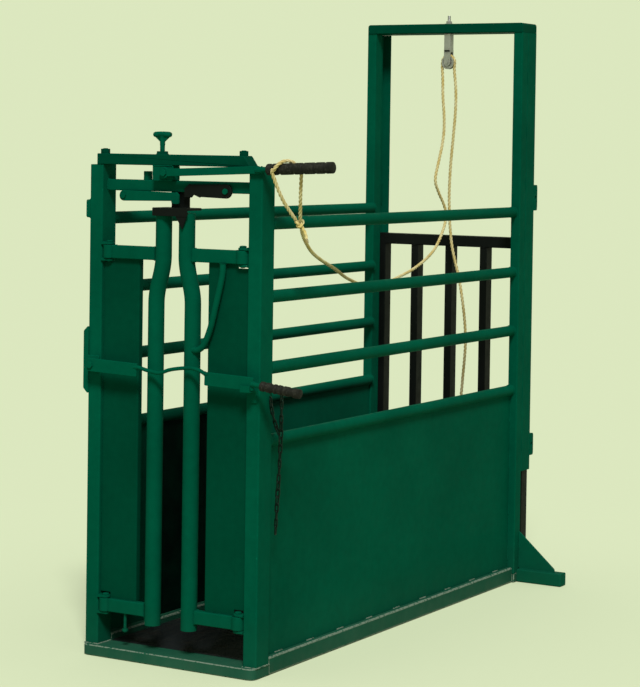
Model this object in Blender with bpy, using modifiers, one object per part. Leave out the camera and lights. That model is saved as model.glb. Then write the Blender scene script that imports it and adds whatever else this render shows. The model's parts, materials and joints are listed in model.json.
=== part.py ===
"""Calf processing chute: base, head gate, side panels, rear drop gate and its rope.

Metres, +Z up, +X towards the side with the lever grip, +Y towards the rear gate.
The origin is on the ground under the middle of the head gate.
"""

import math

import bmesh
import bpy
from mathutils import Matrix, Vector

# Overall frame
FRAME_WIDTH = 0.655
CHUTE_LENGTH = 1.954
FRONT_HEIGHT = 1.585
REAR_HEIGHT = 2.130
GAP = 0.0003
WELD = 0.001
WALL = 0.003

# Posts and base
POST_WIDTH = 0.050
POST_DEPTH = 0.076
REAR_FRAME_WIDTH = 0.672
REAR_POST_WIDTH = 0.038
REAR_POST_DEPTH = 0.050
GUIDE_DEPTH = 0.074
GUIDE_WALL = 0.004
GUIDE_FOOT_HEIGHT = 0.420
SILL_HEIGHT = 0.035
SILL_LIP = 0.018
SILL_CORNER = 0.022
BASE_SIDE_HEIGHT = 0.057
FLOOR_THICKNESS = 0.005
FLOOR_RIB_COUNT = 3
FLOOR_RIB_WIDTH = 0.008
REAR_BEAM_HEIGHT = 0.036
BEAM_CORNER = 0.012

# Side panels
RAIL_RADIUS = 0.020
RAIL_WALL = 0.0025
TOP_RAIL_HEIGHT = 1.411
UPPER_RAIL_HEIGHT = 1.183
LOWER_RAIL_HEIGHT = 0.960
CAP_RAIL_HEIGHT = 0.733
SHEET_THICKNESS = 0.003

# Head gate doors
SLEEVE_RADIUS = 0.021
SLEEVE_CLEARANCE = 0.003
HINGE_DEPTH = 0.010
PIN_RADIUS = 0.0078
PIN_CLEARANCE = 0.0004
PIN_HEAD_RADIUS = 0.011
PIN_HEAD_HEIGHT = 0.006
PIN_TAIL = 0.003
HINGE_LUG_THICKNESS = 0.008
HINGE_LUG_DEPTH = 0.030
HINGE_RUNNING_GAP = 0.001
DOOR_BAR_HEIGHT = 0.042
DOOR_BAR_DEPTH = 0.025
DOOR_BOTTOM = 0.146
NECK_RADIUS = 0.026
NECK_HALF_GAP = 0.0695
NECK_TOP_HALF_GAP = 0.0440
NECK_FOOT = 0.122
NECK_STUB = 0.110
NECK_BEND_DROP = 0.027
NECK_BEND_LENGTH = 0.150
PANEL_INNER_LEFT = 0.137
PANEL_INNER_RIGHT = 0.125
PANEL_RECESS = 0.014
PANEL_FLANGE = 0.020
PANEL_HINGE_GAP = 0.002
PANEL_WING_REACH = 0.022
PANEL_WING_INSET = 0.019
PANEL_WING_TOP_INSET = 0.0132
BRACE_RADIUS = 0.010
BRACE_TOP_OFFSET = 0.190
BRACE_HEIGHT = 0.275
STUD_RADIUS = 0.005
STUD_OFFSET = 0.176
STUD_DROP = 0.062

# Head gate top works
CROSSBAR_HEIGHT = 0.035
CROSSBAR_DEPTH = 0.050
CROSSBAR_LEFT_END = -0.302
CROSSBAR_RIGHT_TOP = 0.258
CROSSBAR_RIGHT_FOOT = 0.283
CROSSBAR_BOLT_RADIUS = 0.015
CROSSBAR_BOLTS = ((-0.2860, 0.017), (0.2425, 0.017))
LOWER_BAR_HEIGHT = 0.036
CROSSBAR_SPACE = 0.047
LOWER_BAR_DEPTH = 0.032
LOWER_BAR_SETBACK = 0.026
LEVER_PIVOT_OFFSET = -0.032
LEVER_PIVOT_RISE = 0.025
LEVER_TILT = math.radians(2.5)
LEVER_PLANE = 0.010
LEVER_BAR_HEIGHT = 0.024
LEVER_THICKNESS = 0.008
LEVER_BOSS_RADIUS = 0.018
LEVER_PIN_RADIUS = 0.007
LEVER_REACH = 0.362
SHANK_RADIUS = 0.009
GRIP_RADIUS = 0.018
GRIP_LENGTH = 0.234
GRIP_START = 0.385
BEARING_WIDTH = 0.078
BEARING_OFFSET = -0.046
SCREW_OFFSET = -0.064
SCREW_RADIUS = 0.0085
SCREW_RISE = 0.0637
SCREW_HANDLE_LENGTH = 0.064
SCREW_HANDLE_RADIUS = 0.009
SCREW_WEB_DEPTH = 0.026
SCREW_WEB_THICKNESS = 0.004
SCREW_NUT_RADIUS = 0.019
SCREW_NUT_HEIGHT = 0.010
BOLT_HEAD_RADIUS = 0.012
BOLT_HEAD_HEIGHT = 0.011
STOP_BOLT_OFFSET = -0.130
STOP_BOLT_HEIGHT = 0.028
STOP_BOLT_RADIUS = 0.015
ARM_THICKNESS = 0.008
ARM_RUNNING_GAP = 0.004
ARM_HEIGHT = 0.034
ARM_LENGTH = 0.212
ARM_PIVOT_OFFSET = 0.205
ARM_PIVOT_DROP = 0.015
ARM_STUD_RADIUS = 0.006
ARM_HEAD_RADIUS = 0.010
HOOK_ARM_HEIGHT = 0.044
HOOK_ARM_LENGTH = 0.155
HOOK_PIVOT_OFFSET = 0.183
HOOK_PIVOT_RISE = 0.006
NECK_GUIDE_HALF_WIDTH = 0.066
NECK_GUIDE_THICKNESS = 0.008
NECK_GUIDE_CLEARANCE = 0.008
NECK_GUIDE_SKIRT = 0.026
NECK_GUIDE_TONGUE = 0.042
NECK_GUIDE_SPACE = 0.065

# Front bar across the doors
BAR_PLANE = 0.038
BAR_THICKNESS = 0.008
BAR_HEIGHT = 0.042
BAR_PIVOT_INSET = 0.038
BAR_PIVOT_HEIGHT = 0.9423
BAR_NOSE = 0.013
BAR_NOSE_CHAMFER = 0.005
BAR_SLOPE = math.radians(2.0)
BAR_LEFT_REACH = 0.1815
BAR_RIGHT_LENGTH = 0.178
BAR_OVERHANG = 0.0085
BAR_ROD_RADIUS = 0.006
BAR_BOLT_RADIUS = 0.006
BAR_SPACER_RADIUS = 0.010
BAR_GRIP_RADIUS = 0.0152
BAR_GRIP_START = 0.035
BAR_GRIP_LENGTH = 0.142
BAR_GRIP_DROOP = math.radians(4.0)
BAR_SHANK_RADIUS = 0.008
BRACKET_HEIGHT = 0.215
BRACKET_OUTSET = 0.015
BRACKET_THICKNESS = 0.006
BRACKET_LAP = 0.004
BRACKET_TAB_HEIGHT = 0.052
KEEPER_WIDTH = 0.034
KEEPER_THICKNESS = 0.006
KEEPER_LIP = 0.016
KEEPER_INSET = 0.025

# Rear gate, pulley and feet
GATE_TOP = 1.311
GATE_BAR_WIDTH = 0.042
GATE_DEPTH = 0.050
GATE_STILE_WIDTH = 0.050
GATE_INNER_BAR_WIDTH = 0.030
GATE_RUNNING_GAP = 0.002
GATE_BAR_SPACING = 0.150
GATE_EYE_OFFSET = 0.075
GATE_EYE_REACH = 0.058
GATE_EYE_THICKNESS = 0.012
LUG_REACH = 0.030
LUG_THICKNESS = 0.010
LUG_HOLE_RADIUS = 0.008
UPPER_LUG_HEIGHT = 1.465
UPPER_LUG_SIZE = 0.098
LOWER_LUG_HEIGHT = 0.515
LOWER_LUG_SIZE = 0.084
FRONT_LUG_HEIGHT = 1.442
FRONT_LUG_SIZE = 0.058
FOOT_REACH = 0.182
FOOT_SETBACK = 0.024
GUSSET_SETBACK = 0.0443
FOOT_HEIGHT = 0.048
FOOT_DEPTH = 0.050
GUSSET_HEIGHT = 0.190
GUSSET_REACH = 0.148
GUSSET_THICKNESS = 0.008
PULLEY_OFFSET = 0.010
PULLEY_SETBACK = 0.028
HANGER_BLOCK_HEIGHT = 0.0734
SHEAVE_RADIUS = 0.026
GROOVE_RADIUS = 0.020
SHEAVE_WIDTH = 0.018
SHEAVE_SIDE_GAP = 0.001
AXLE_RADIUS = 0.004
CHEEK_THICKNESS = 0.004
CHEEK_WIDTH = 0.028
HANGER_BOLT_RADIUS = 0.006
HANGER_BOLT_RISE = 0.032

# Rope and chain
ROPE_RADIUS = 0.006
ROPE_STEP = 0.058
KNOT_INSET = 0.030
KNOT_SETBACK = 0.040
KNOT_DROP = 0.148
CHAIN_RADIUS = 0.004
CHAIN_STEP = 0.024
CHAIN_FOOT = 0.450
CHAIN_HOOK_REACH = 0.048
CHAIN_HOOK_RADIUS = 0.005
CHAIN_HOOK_HEIGHT = 0.893
CHAIN_HOOK_Y = 0.020

# Round resolution
ROUND_SIDES = 20
SMALL_SIDES = 12

# Values worked out from the driving dimensions
HALF = FRAME_WIDTH / 2
FRONT = -POST_DEPTH / 2
REAR = FRONT + CHUTE_LENGTH
POST_BACK = FRONT + POST_DEPTH
POST_INNER = HALF - POST_WIDTH
GUIDE_FRONT = REAR - GUIDE_DEPTH
REAR_POST_FRONT = GUIDE_FRONT - GAP - REAR_POST_DEPTH
BEAM_BOTTOM = REAR_HEIGHT - REAR_BEAM_HEIGHT
REAR_HALF = REAR_FRAME_WIDTH / 2
REAR_POST_INNER = REAR_HALF - REAR_POST_WIDTH
RAIL_X = HALF - RAIL_RADIUS - WELD
HINGE_X = POST_INNER - SLEEVE_RADIUS - SLEEVE_CLEARANCE
HINGE_Y = FRONT + HINGE_DEPTH
LOWER_BAR_TOP = FRONT_HEIGHT - CROSSBAR_SPACE
LOWER_BAR_BOTTOM = LOWER_BAR_TOP - LOWER_BAR_HEIGHT
LEVER_PIVOT_HEIGHT = LOWER_BAR_TOP + LEVER_PIVOT_RISE
SCREW_TOP = FRONT_HEIGHT + GAP + CROSSBAR_HEIGHT + SCREW_RISE
NECK_TOP = LOWER_BAR_BOTTOM - NECK_GUIDE_SPACE
DOOR_TOP = NECK_TOP - NECK_STUB
NECK_BEND_HIGH = DOOR_TOP - NECK_BEND_DROP
NECK_BEND_LOW = NECK_BEND_HIGH - NECK_BEND_LENGTH
DOOR_TOP_BAR_BOTTOM = DOOR_TOP - DOOR_BAR_HEIGHT
DOOR_BOTTOM_BAR_TOP = DOOR_BOTTOM + DOOR_BAR_HEIGHT
LOWER_BAR_FRONT = FRONT + LOWER_BAR_SETBACK
ARM_Y = LOWER_BAR_FRONT - ARM_RUNNING_GAP - ARM_THICKNESS / 2
LEVER_Y = FRONT - LEVER_PLANE
BAR_Y = FRONT - BAR_PLANE
BAR_PIVOT_X = -HALF + BAR_PIVOT_INSET
KEEPER_OUTER = HALF - KEEPER_INSET + KEEPER_WIDTH / 2
BAR_RIGHT_END = KEEPER_OUTER + BAR_OVERHANG - BAR_PIVOT_X
BAR_RIGHT_START = BAR_RIGHT_END - BAR_RIGHT_LENGTH
GATE_FRONT = REAR - GUIDE_WALL - GAP - GATE_RUNNING_GAP - GATE_DEPTH
GATE_HALF = REAR_HALF - GUIDE_WALL - GATE_RUNNING_GAP
GATE_BOTTOM = SILL_HEIGHT + GAP
PULLEY_HEIGHT = BEAM_BOTTOM - HANGER_BLOCK_HEIGHT - 2 * ROPE_RADIUS - SHEAVE_RADIUS - 2 * GAP
PULLEY_Y = GATE_FRONT - PULLEY_SETBACK - SHEAVE_WIDTH / 2 - SHEAVE_SIDE_GAP - CHEEK_THICKNESS - GATE_RUNNING_GAP
ROPE_WRAP_RADIUS = GROOVE_RADIUS + ROPE_RADIUS + WELD


def clear_scene():
    """Remove every object, so the script can run again in the same file."""
    for obj in list(bpy.data.objects):
        bpy.data.objects.remove(obj, do_unlink=True)
    for collection in list(bpy.data.collections):
        bpy.data.collections.remove(collection)


clear_scene()
CHUTE = bpy.data.collections.new("calf_chute")
CUTTERS = bpy.data.collections.new("cutters")
bpy.context.scene.collection.children.link(CHUTE)
bpy.context.scene.collection.children.link(CUTTERS)


def make_material(name, colour, roughness, metallic):
    """A Principled material with the finish of one kind of piece."""
    mat = bpy.data.materials.new(name)
    mat.use_nodes = True
    shader = mat.node_tree.nodes["Principled BSDF"]
    shader.inputs["Base Color"].default_value = (*colour, 1.0)
    shader.inputs["Roughness"].default_value = roughness
    shader.inputs["Metallic"].default_value = metallic
    return mat


GREEN = make_material("green_paint", (0.004, 0.075, 0.040), 0.45, 0.0)
BASE_GREEN = make_material("dusty_green_paint", (0.020, 0.085, 0.055), 0.60, 0.0)
BLACK = make_material("black_paint", (0.012, 0.012, 0.013), 0.50, 0.0)
RUBBER = make_material("black_rubber", (0.015, 0.015, 0.015), 0.75, 0.0)
STEEL = make_material("bare_steel", (0.28, 0.27, 0.25), 0.45, 1.0)
ROPE = make_material("rope", (0.62, 0.50, 0.22), 0.85, 0.0)
PLATE = make_material("floor_steel", (0.16, 0.15, 0.13), 0.70, 0.3)


def add_object(name, data, mat, collection=CHUTE):
    """Link a new object that holds the data."""
    obj = bpy.data.objects.new(name, data)
    collection.objects.link(obj)
    if mat is not None:
        data.materials.append(mat)
    return obj


def mesh_object(name, build, mat, collection=CHUTE):
    """Fill a new mesh with the build function and make an object of it."""
    mesh = bpy.data.meshes.new(name)
    bm = bmesh.new()
    build(bm)
    bmesh.ops.recalc_face_normals(bm, faces=bm.faces)
    bm.to_mesh(mesh)
    bm.free()
    return add_object(name, mesh, mat, collection)


def centred_box(bm, low, high):
    """A box about the origin with the size between two corners."""
    size = [high[i] - low[i] for i in range(3)]
    bmesh.ops.create_cube(bm, size=1.0, matrix=Matrix.Diagonal((*size, 1.0)))


def box(name, low, high, mat=GREEN, bevel=0.0, collection=CHUTE):
    """A solid bar or plate between two corners, with softened edges if asked."""
    obj = mesh_object(name, lambda bm: centred_box(bm, low, high), mat, collection)
    obj.location = [(low[i] + high[i]) / 2 for i in range(3)]
    if bevel > 0:
        round_edges(obj, bevel)
    return obj


def round_edges(obj, width, segments=1):
    """Soften the sharp edges of a piece."""
    mod = obj.modifiers.new("soft_edges", "BEVEL")
    mod.width = width
    mod.segments = segments
    mod.limit_method = "ANGLE"


def hollow_box(name, low, high, wall, open_sides, mat=GREEN):
    """Rectangular tube: a box without its open sides, given a wall thickness."""

    def build(bm):
        centred_box(bm, low, high)
        doomed = []
        for face in bm.faces:
            if any(face.normal.dot(Vector(side)) > 0.9 for side in open_sides):
                doomed.append(face)
        bmesh.ops.delete(bm, geom=doomed, context="FACES")

    obj = mesh_object(name, build, mat)
    obj.location = [(low[i] + high[i]) / 2 for i in range(3)]
    solidify(obj, wall)
    return obj


def solidify(obj, wall):
    """Thicken an open surface inwards."""
    mod = obj.modifiers.new("wall", "SOLIDIFY")
    mod.thickness = wall
    mod.offset = -1.0
    mod.use_even_offset = True


def along(start, end):
    """Middle, length and turn of a cylinder that runs between two points."""
    run = Vector(end) - Vector(start)
    middle = (Vector(start) + Vector(end)) / 2
    return middle, run.length, run.to_track_quat("Z", "Y")


def rod(name, start, end, radius, mat=GREEN, sides=SMALL_SIDES, collection=CHUTE):
    """A solid round bar between two points."""
    middle, length, turn = along(start, end)

    def build(bm):
        bmesh.ops.create_cone(
            bm, cap_ends=True, segments=sides, radius1=radius, radius2=radius, depth=length
        )

    obj = mesh_object(name, build, mat, collection)
    obj.location = middle
    obj.rotation_mode = "QUATERNION"
    obj.rotation_quaternion = turn
    shade_round(obj)
    return obj


def pipe(name, start, end, radius, wall, mat=GREEN, sides=ROUND_SIDES):
    """A round tube between two points, open at its ends."""
    middle, length, turn = along(start, end)

    def build(bm):
        bmesh.ops.create_cone(
            bm, cap_ends=False, segments=sides, radius1=radius, radius2=radius, depth=length
        )

    obj = mesh_object(name, build, mat)
    obj.location = middle
    obj.rotation_mode = "QUATERNION"
    obj.rotation_quaternion = turn
    solidify(obj, wall)
    shade_round(obj)
    return obj


def shade_round(obj):
    """Smooth shading that keeps the sharp rims."""
    obj.data.shade_smooth()
    obj.data.set_sharp_from_angle(angle=math.radians(40))


def outline_plate(name, points, thickness, mat=GREEN, collection=CHUTE):
    """A flat plate from an outline in X and Z, its thickness along Y."""
    curve = bpy.data.curves.new(name, "CURVE")
    curve.dimensions = "2D"
    curve.fill_mode = "BOTH"
    curve.extrude = thickness / 2
    spline = curve.splines.new("POLY")
    spline.points.add(len(points) - 1)
    for point, (x, z) in zip(spline.points, points):
        point.co = (x, z, 0.0, 1.0)
    spline.use_cyclic_u = True
    obj = add_object(name, curve, mat, collection)
    obj.rotation_euler = (math.pi / 2, 0.0, 0.0)
    return curve_to_mesh(obj)


def curve_to_mesh(obj):
    """Swap a curve object for a mesh object of the same name and place."""
    name = obj.name
    bpy.context.view_layer.update()
    graph = bpy.context.evaluated_depsgraph_get()
    mesh = bpy.data.meshes.new_from_object(obj.evaluated_get(graph))
    bm = bmesh.new()
    bm.from_mesh(mesh)
    bmesh.ops.remove_doubles(bm, verts=bm.verts, dist=1e-5)
    bmesh.ops.recalc_face_normals(bm, faces=bm.faces)
    bm.to_mesh(mesh)
    bm.free()
    place = obj.matrix_world.copy()
    collection = obj.users_collection[0]
    curve = obj.data
    bpy.data.objects.remove(obj, do_unlink=True)
    bpy.data.curves.remove(curve)
    new = bpy.data.objects.new(name, mesh)
    new.matrix_world = place
    collection.objects.link(new)
    return new


def tube_along(name, points, radius, mat=GREEN, resolution=3):
    """A round bar bent along a line of points."""
    curve = bpy.data.curves.new(name, "CURVE")
    curve.dimensions = "3D"
    curve.bevel_depth = radius
    curve.bevel_resolution = resolution
    curve.use_fill_caps = True
    spline = curve.splines.new("POLY")
    spline.points.add(len(points) - 1)
    for point, place in zip(spline.points, points):
        point.co = (*place, 1.0)
    spline.use_smooth = True
    return add_object(name, curve, mat)


def apply_modifiers(obj):
    """Write the evaluated shape of an object into its own mesh."""
    bpy.context.view_layer.update()
    graph = bpy.context.evaluated_depsgraph_get()
    mesh = bpy.data.meshes.new_from_object(obj.evaluated_get(graph))
    obj.modifiers.clear()
    obj.data = mesh
    return obj


def weld(base, *others):
    """Join pieces that are welded in the real object into one solid."""
    for other in others:
        mod = base.modifiers.new("weld", "BOOLEAN")
        mod.operation = "UNION"
        mod.object = other
    apply_modifiers(base)
    for other in others:
        bpy.data.objects.remove(other, do_unlink=True)
    return base


def cut(base, *cutters):
    """Cut holes, and keep the cutters as guides in their own collection."""
    for cutter in cutters:
        mod = base.modifiers.new("hole", "BOOLEAN")
        mod.operation = "DIFFERENCE"
        mod.object = cutter
        cutter.hide_render = True
        cutter.display_type = "WIRE"
    return base


def cutter_rod(name, start, end, radius, sides=ROUND_SIDES):
    """A round cutter between two points."""
    return rod(name, start, end, radius, None, sides, CUTTERS)


def turned(name, profile, mat, sides=ROUND_SIDES):
    """A turned piece about its local Z, from a closed outline of radius and height."""

    def build(bm):
        verts = [bm.verts.new((radius, 0.0, height)) for radius, height in profile]
        for i, vert in enumerate(verts):
            bm.edges.new((vert, verts[(i + 1) % len(verts)]))

    obj = add_object(name, bpy.data.meshes.new(name), mat)
    bm = bmesh.new()
    build(bm)
    bm.to_mesh(obj.data)
    bm.free()
    mod = obj.modifiers.new("turn", "SCREW")
    mod.steps = sides
    mod.render_steps = sides
    mod.use_merge_vertices = True
    mod.merge_threshold = 0.00001
    mod.use_normal_calculate = True
    return obj


def arc(centre_x, centre_z, radius, start, end, count):
    """Points of an arc in X and Z, angles in degrees."""
    points = []
    for i in range(count + 1):
        angle = math.radians(start + (end - start) * i / count)
        points.append((centre_x + radius * math.cos(angle), centre_z + radius * math.sin(angle)))
    return points


def smooth_route(route, step):
    """Evenly spaced points on a smooth curve through the route's own points."""
    knots = [Vector(point) for point in route]
    fine = []
    for i in range(len(knots) - 1):
        before = knots[max(i - 1, 0)]
        after = knots[min(i + 2, len(knots) - 1)]
        for j in range(24):
            t = j / 24
            fine.append(catmull(before, knots[i], knots[i + 1], after, t))
    fine.append(knots[-1])
    total = sum((b - a).length for a, b in zip(fine, fine[1:]))
    count = max(2, round(total / step))
    return resample(fine, total, count)


def catmull(p0, p1, p2, p3, t):
    """One point of a Catmull-Rom curve between its middle two points."""
    a = 2 * p1
    b = (p2 - p0) * t
    c = (2 * p0 - 5 * p1 + 4 * p2 - p3) * t * t
    d = (3 * p1 - p0 - 3 * p2 + p3) * t * t * t
    return (a + b + c + d) / 2


def resample(fine, total, count):
    """Points at equal distances along a fine line of points."""
    result = [fine[0]]
    walked = 0.0
    target = total / count
    for a, b in zip(fine, fine[1:]):
        piece = (b - a).length
        while walked + piece >= target and len(result) < count:
            result.append(a.lerp(b, (target - walked) / piece))
            target += total / count
        walked += piece
    result.append(fine[-1])
    return result


def build_base():
    """Sills, skids and the floor plate with its ribs."""
    sill = box("front_sill", (-HALF, FRONT - SILL_LIP, 0), (HALF, POST_BACK, SILL_HEIGHT), BASE_GREEN)
    round_front_corners(sill, SILL_CORNER)
    round_edges(sill, 0.002)
    box("rear_sill", (-REAR_HALF, REAR_POST_FRONT, 0), (REAR_HALF, REAR, SILL_HEIGHT), BASE_GREEN, 0.002)
    for side, word in ((-1, "left"), (1, "right")):
        xs = sorted((side * POST_INNER, side * HALF))
        low = (xs[0], POST_BACK + GAP, 0)
        high = (xs[1], REAR_POST_FRONT - GAP, BASE_SIDE_HEIGHT)
        ends = ((0, -1, 0), (0, 1, 0))
        hollow_box("base_skid_" + word, low, high, WALL, ends, BASE_GREEN)
    build_floor()


def round_front_corners(obj, radius):
    """Round the two upright edges on the front of a box, seen in plan."""
    bm = bmesh.new()
    bm.from_mesh(obj.data)
    corners = []
    for edge in bm.edges:
        a, b = edge.verts
        if a.co.y < 0 and b.co.y < 0 and abs(a.co.z - b.co.z) > WELD:
            corners.append(edge)
    bmesh.ops.bevel(bm, geom=corners, offset=radius, segments=4, profile=0.5, affect="EDGES")
    bm.to_mesh(obj.data)
    bm.free()


def build_floor():
    """Floor plate between the skids, with ribs that reach the ground."""
    reach = POST_INNER - GAP
    start = POST_BACK + GAP
    end = REAR_POST_FRONT - GAP
    plate_bottom = SILL_HEIGHT - FLOOR_THICKNESS
    plate = box("floor_plate", (-reach, start, plate_bottom), (reach, end, SILL_HEIGHT), PLATE)
    ribs = []
    for i in range(FLOOR_RIB_COUNT):
        y = start + (end - start) * (i + 0.5) / FLOOR_RIB_COUNT
        low = (-reach + WELD, y - FLOOR_RIB_WIDTH / 2, 0)
        high = (reach - WELD, y + FLOOR_RIB_WIDTH / 2, plate_bottom + WELD)
        ribs.append(box("floor_rib", low, high, PLATE))
    weld(plate, *ribs)


def hinge_heights():
    """Bottom and top of the two hinge sleeves of a door."""
    return (
        ("bottom", DOOR_BOTTOM, DOOR_BOTTOM_BAR_TOP),
        ("top", DOOR_TOP_BAR_BOTTOM, DOOR_TOP),
    )


def build_front_posts():
    """Front posts with the hinge lugs welded to their inner faces."""
    for side, word in ((-1, "left"), (1, "right")):
        xs = sorted((side * POST_INNER, side * HALF))
        low = (xs[0], FRONT, SILL_HEIGHT + GAP)
        high = (xs[1], POST_BACK, FRONT_HEIGHT)
        post = hollow_box("front_post_" + word, low, high, WALL, ((0, 0, -1),))
        lugs = [hinge_lug(side, z) for z in lug_levels()]
        lugs.append(front_lug() if side < 0 else chain_hook())
        apply_modifiers(post)
        weld(post, *lugs)
        start = (side * HINGE_X, HINGE_Y, DOOR_BOTTOM - 2 * HINGE_LUG_THICKNESS)
        end = (side * HINGE_X, HINGE_Y, DOOR_TOP + 2 * HINGE_LUG_THICKNESS)
        cut(post, cutter_rod("lug_bore_" + word, start, end, PIN_RADIUS + PIN_CLEARANCE))


def lug_levels():
    """Underside of each hinge lug, one below and one above every sleeve."""
    levels = []
    for _, low, high in hinge_heights():
        levels.append(low - HINGE_RUNNING_GAP - HINGE_LUG_THICKNESS)
        levels.append(high + HINGE_RUNNING_GAP)
    return levels


def hinge_lug(side, level):
    """One round-nosed lug that carries a hinge pin."""
    radius = HINGE_LUG_DEPTH / 2
    reach = POST_INNER + WELD - HINGE_X
    nose = arc(0, 0, radius, 90, 270, 10)
    points = [(-u, v) for u, v in nose] if side < 0 else nose
    points += [(side * reach, -radius), (side * reach, radius)]

    def build(bm):
        bottom = bm.faces.new([bm.verts.new((x, y, 0.0)) for x, y in points])
        grown = bmesh.ops.extrude_face_region(bm, geom=[bottom])
        risen = [item for item in grown["geom"] if isinstance(item, bmesh.types.BMVert)]
        bmesh.ops.translate(bm, verts=risen, vec=(0.0, 0.0, HINGE_LUG_THICKNESS))

    lug = mesh_object("hinge_lug", build, GREEN)
    lug.location = (side * HINGE_X, HINGE_Y, level)
    return lug


def front_lug():
    """Panel lug on the outer face of the left post."""
    low = (-HALF - BRACKET_OUTSET, FRONT, FRONT_LUG_HEIGHT - FRONT_LUG_SIZE / 2)
    high = (-HALF + WELD, POST_BACK - FRONT_LUG_SIZE / 2, FRONT_LUG_HEIGHT + FRONT_LUG_SIZE / 2)
    return box("front_lug", low, high, GREEN, 0.004)


def chain_hook():
    """Short rod on the outer face of the right post that holds the chain."""
    start = (HALF - WELD, CHAIN_HOOK_Y, CHAIN_HOOK_HEIGHT)
    end = (HALF + CHAIN_HOOK_REACH, CHAIN_HOOK_Y, CHAIN_HOOK_HEIGHT)
    return rod("chain_hook", start, end, CHAIN_HOOK_RADIUS)


def build_hinge_pins():
    """Loose pins that drop through the lugs and the door sleeves."""
    for side, word in ((-1, "left"), (1, "right")):
        for place, low, high in hinge_heights():
            x = side * HINGE_X
            seat = high + HINGE_RUNNING_GAP + HINGE_LUG_THICKNESS + GAP
            bottom = low - HINGE_RUNNING_GAP - HINGE_LUG_THICKNESS - PIN_TAIL
            name = "hinge_pin_" + word + "_" + place
            pin = rod(name, (x, HINGE_Y, bottom), (x, HINGE_Y, seat + WELD), PIN_RADIUS, GREEN)
            top = (x, HINGE_Y, seat + PIN_HEAD_HEIGHT)
            head = rod("pin_head", (x, HINGE_Y, seat), top, PIN_HEAD_RADIUS, GREEN)
            weld(pin, head)


def neck_x(height):
    """Distance of a neck bar from the middle at a height: two straights and an S bend."""
    t = (height - NECK_BEND_LOW) / (NECK_BEND_HIGH - NECK_BEND_LOW)
    t = min(max(t, 0.0), 1.0)
    ease = (1 - math.cos(math.pi * t)) / 2
    return NECK_HALF_GAP + (NECK_TOP_HALF_GAP - NECK_HALF_GAP) * ease


def build_door(side, word):
    """One head gate door: sleeves, bars, neck bar and panel."""
    bend_steps = 8
    heights = [NECK_FOOT]
    for i in range(bend_steps + 1):
        heights.append(NECK_BEND_LOW + (NECK_BEND_HIGH - NECK_BEND_LOW) * i / bend_steps)
    heights.append(NECK_TOP)
    points = [(side * neck_x(z), HINGE_Y, z) for z in heights]
    neck = curve_to_mesh(tube_along("neck_bar_" + word, points, NECK_RADIUS))
    if side > 0:
        weld(neck, door_brace())
    for place, low, high in hinge_heights():
        door_bar(side, word, place, low, high)
    door_panel(side, word)


def door_bar(side, word, place, low, high):
    """Top or bottom bar of a door, with the hinge sleeve welded on."""
    neck = neck_x(low) + NECK_RADIUS + GAP
    xs = sorted((side * neck, side * HINGE_X))
    bar_low = (xs[0], HINGE_Y - DOOR_BAR_DEPTH / 2, low)
    bar_high = (xs[1], HINGE_Y + DOOR_BAR_DEPTH / 2, high)
    bar = box("door_bar_" + word + "_" + place, bar_low, bar_high)
    x = side * HINGE_X
    sleeve = rod("sleeve", (x, HINGE_Y, low), (x, HINGE_Y, high), SLEEVE_RADIUS, GREEN, ROUND_SIDES)
    weld(bar, sleeve)
    if side < 0 and place == "bottom":
        weld(bar, stop_stud())
    bore_low = (x, HINGE_Y, low - WELD)
    bore_high = (x, HINGE_Y, high + WELD)
    name = "sleeve_bore_" + word + "_" + place
    cut(bar, cutter_rod(name, bore_low, bore_high, PIN_RADIUS + PIN_CLEARANCE))


def door_panel(side, word):
    """Sheet between the door's bars: a wing beside the hinge and a flange at the neck."""
    inner = PANEL_INNER_LEFT if side < 0 else PANEL_INNER_RIGHT
    outer = HINGE_X - HINGE_LUG_DEPTH / 2 - PANEL_HINGE_GAP
    wing = HINGE_X + PANEL_WING_REACH
    front = HINGE_Y - DOOR_BAR_DEPTH / 2 + PANEL_RECESS
    low = DOOR_BOTTOM_BAR_TOP + GAP
    high = DOOR_TOP_BAR_BOTTOM - GAP
    wing_low = low + PANEL_WING_INSET
    wing_high = high - PANEL_WING_TOP_INSET
    outline = [(inner, low), (outer, low), (outer, wing_low), (wing, wing_low), (wing, wing_high)]
    outline += [(outer, wing_high), (outer, high), (inner, high)]
    if side < 0:
        outline = [(-x, z) for x, z in reversed(outline)]
    sheet = outline_plate("door_panel_" + word, outline, SHEET_THICKNESS)
    sheet.matrix_world = Matrix.Translation((0, front + SHEET_THICKNESS / 2, 0)) @ sheet.matrix_world
    sheet.data.materials.clear()
    sheet.data.materials.append(GREEN)
    root = inner + WELD
    xs = sorted((side * root, side * (root + SHEET_THICKNESS)))
    flange_low = (xs[0], front + SHEET_THICKNESS / 2, low + WELD)
    flange_high = (xs[1], front + PANEL_FLANGE, high - WELD)
    weld(sheet, box("panel_flange", flange_low, flange_high))


def door_brace():
    """Curved brace between the neck bar and the top bar of the right door."""
    y = HINGE_Y - (NECK_RADIUS - BRACE_RADIUS)
    top = DOOR_TOP_BAR_BOTTOM - GAP
    reach = BRACE_TOP_OFFSET - NECK_HALF_GAP - NECK_RADIUS / 2
    bend = ((0.0, 0.0), (0.0, 0.09), (0.06, 0.22), (0.21, 0.455),
            (0.39, 0.727), (0.61, 0.927), (0.82, 0.996), (1.0, 1.0))
    route = [(BRACE_TOP_OFFSET - reach * u, y, top - BRACE_HEIGHT * v) for u, v in bend]
    brace = tube_along("door_brace", smooth_route(route, BRACE_HEIGHT / 9), BRACE_RADIUS, GREEN, 2)
    return curve_to_mesh(brace)


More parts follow.
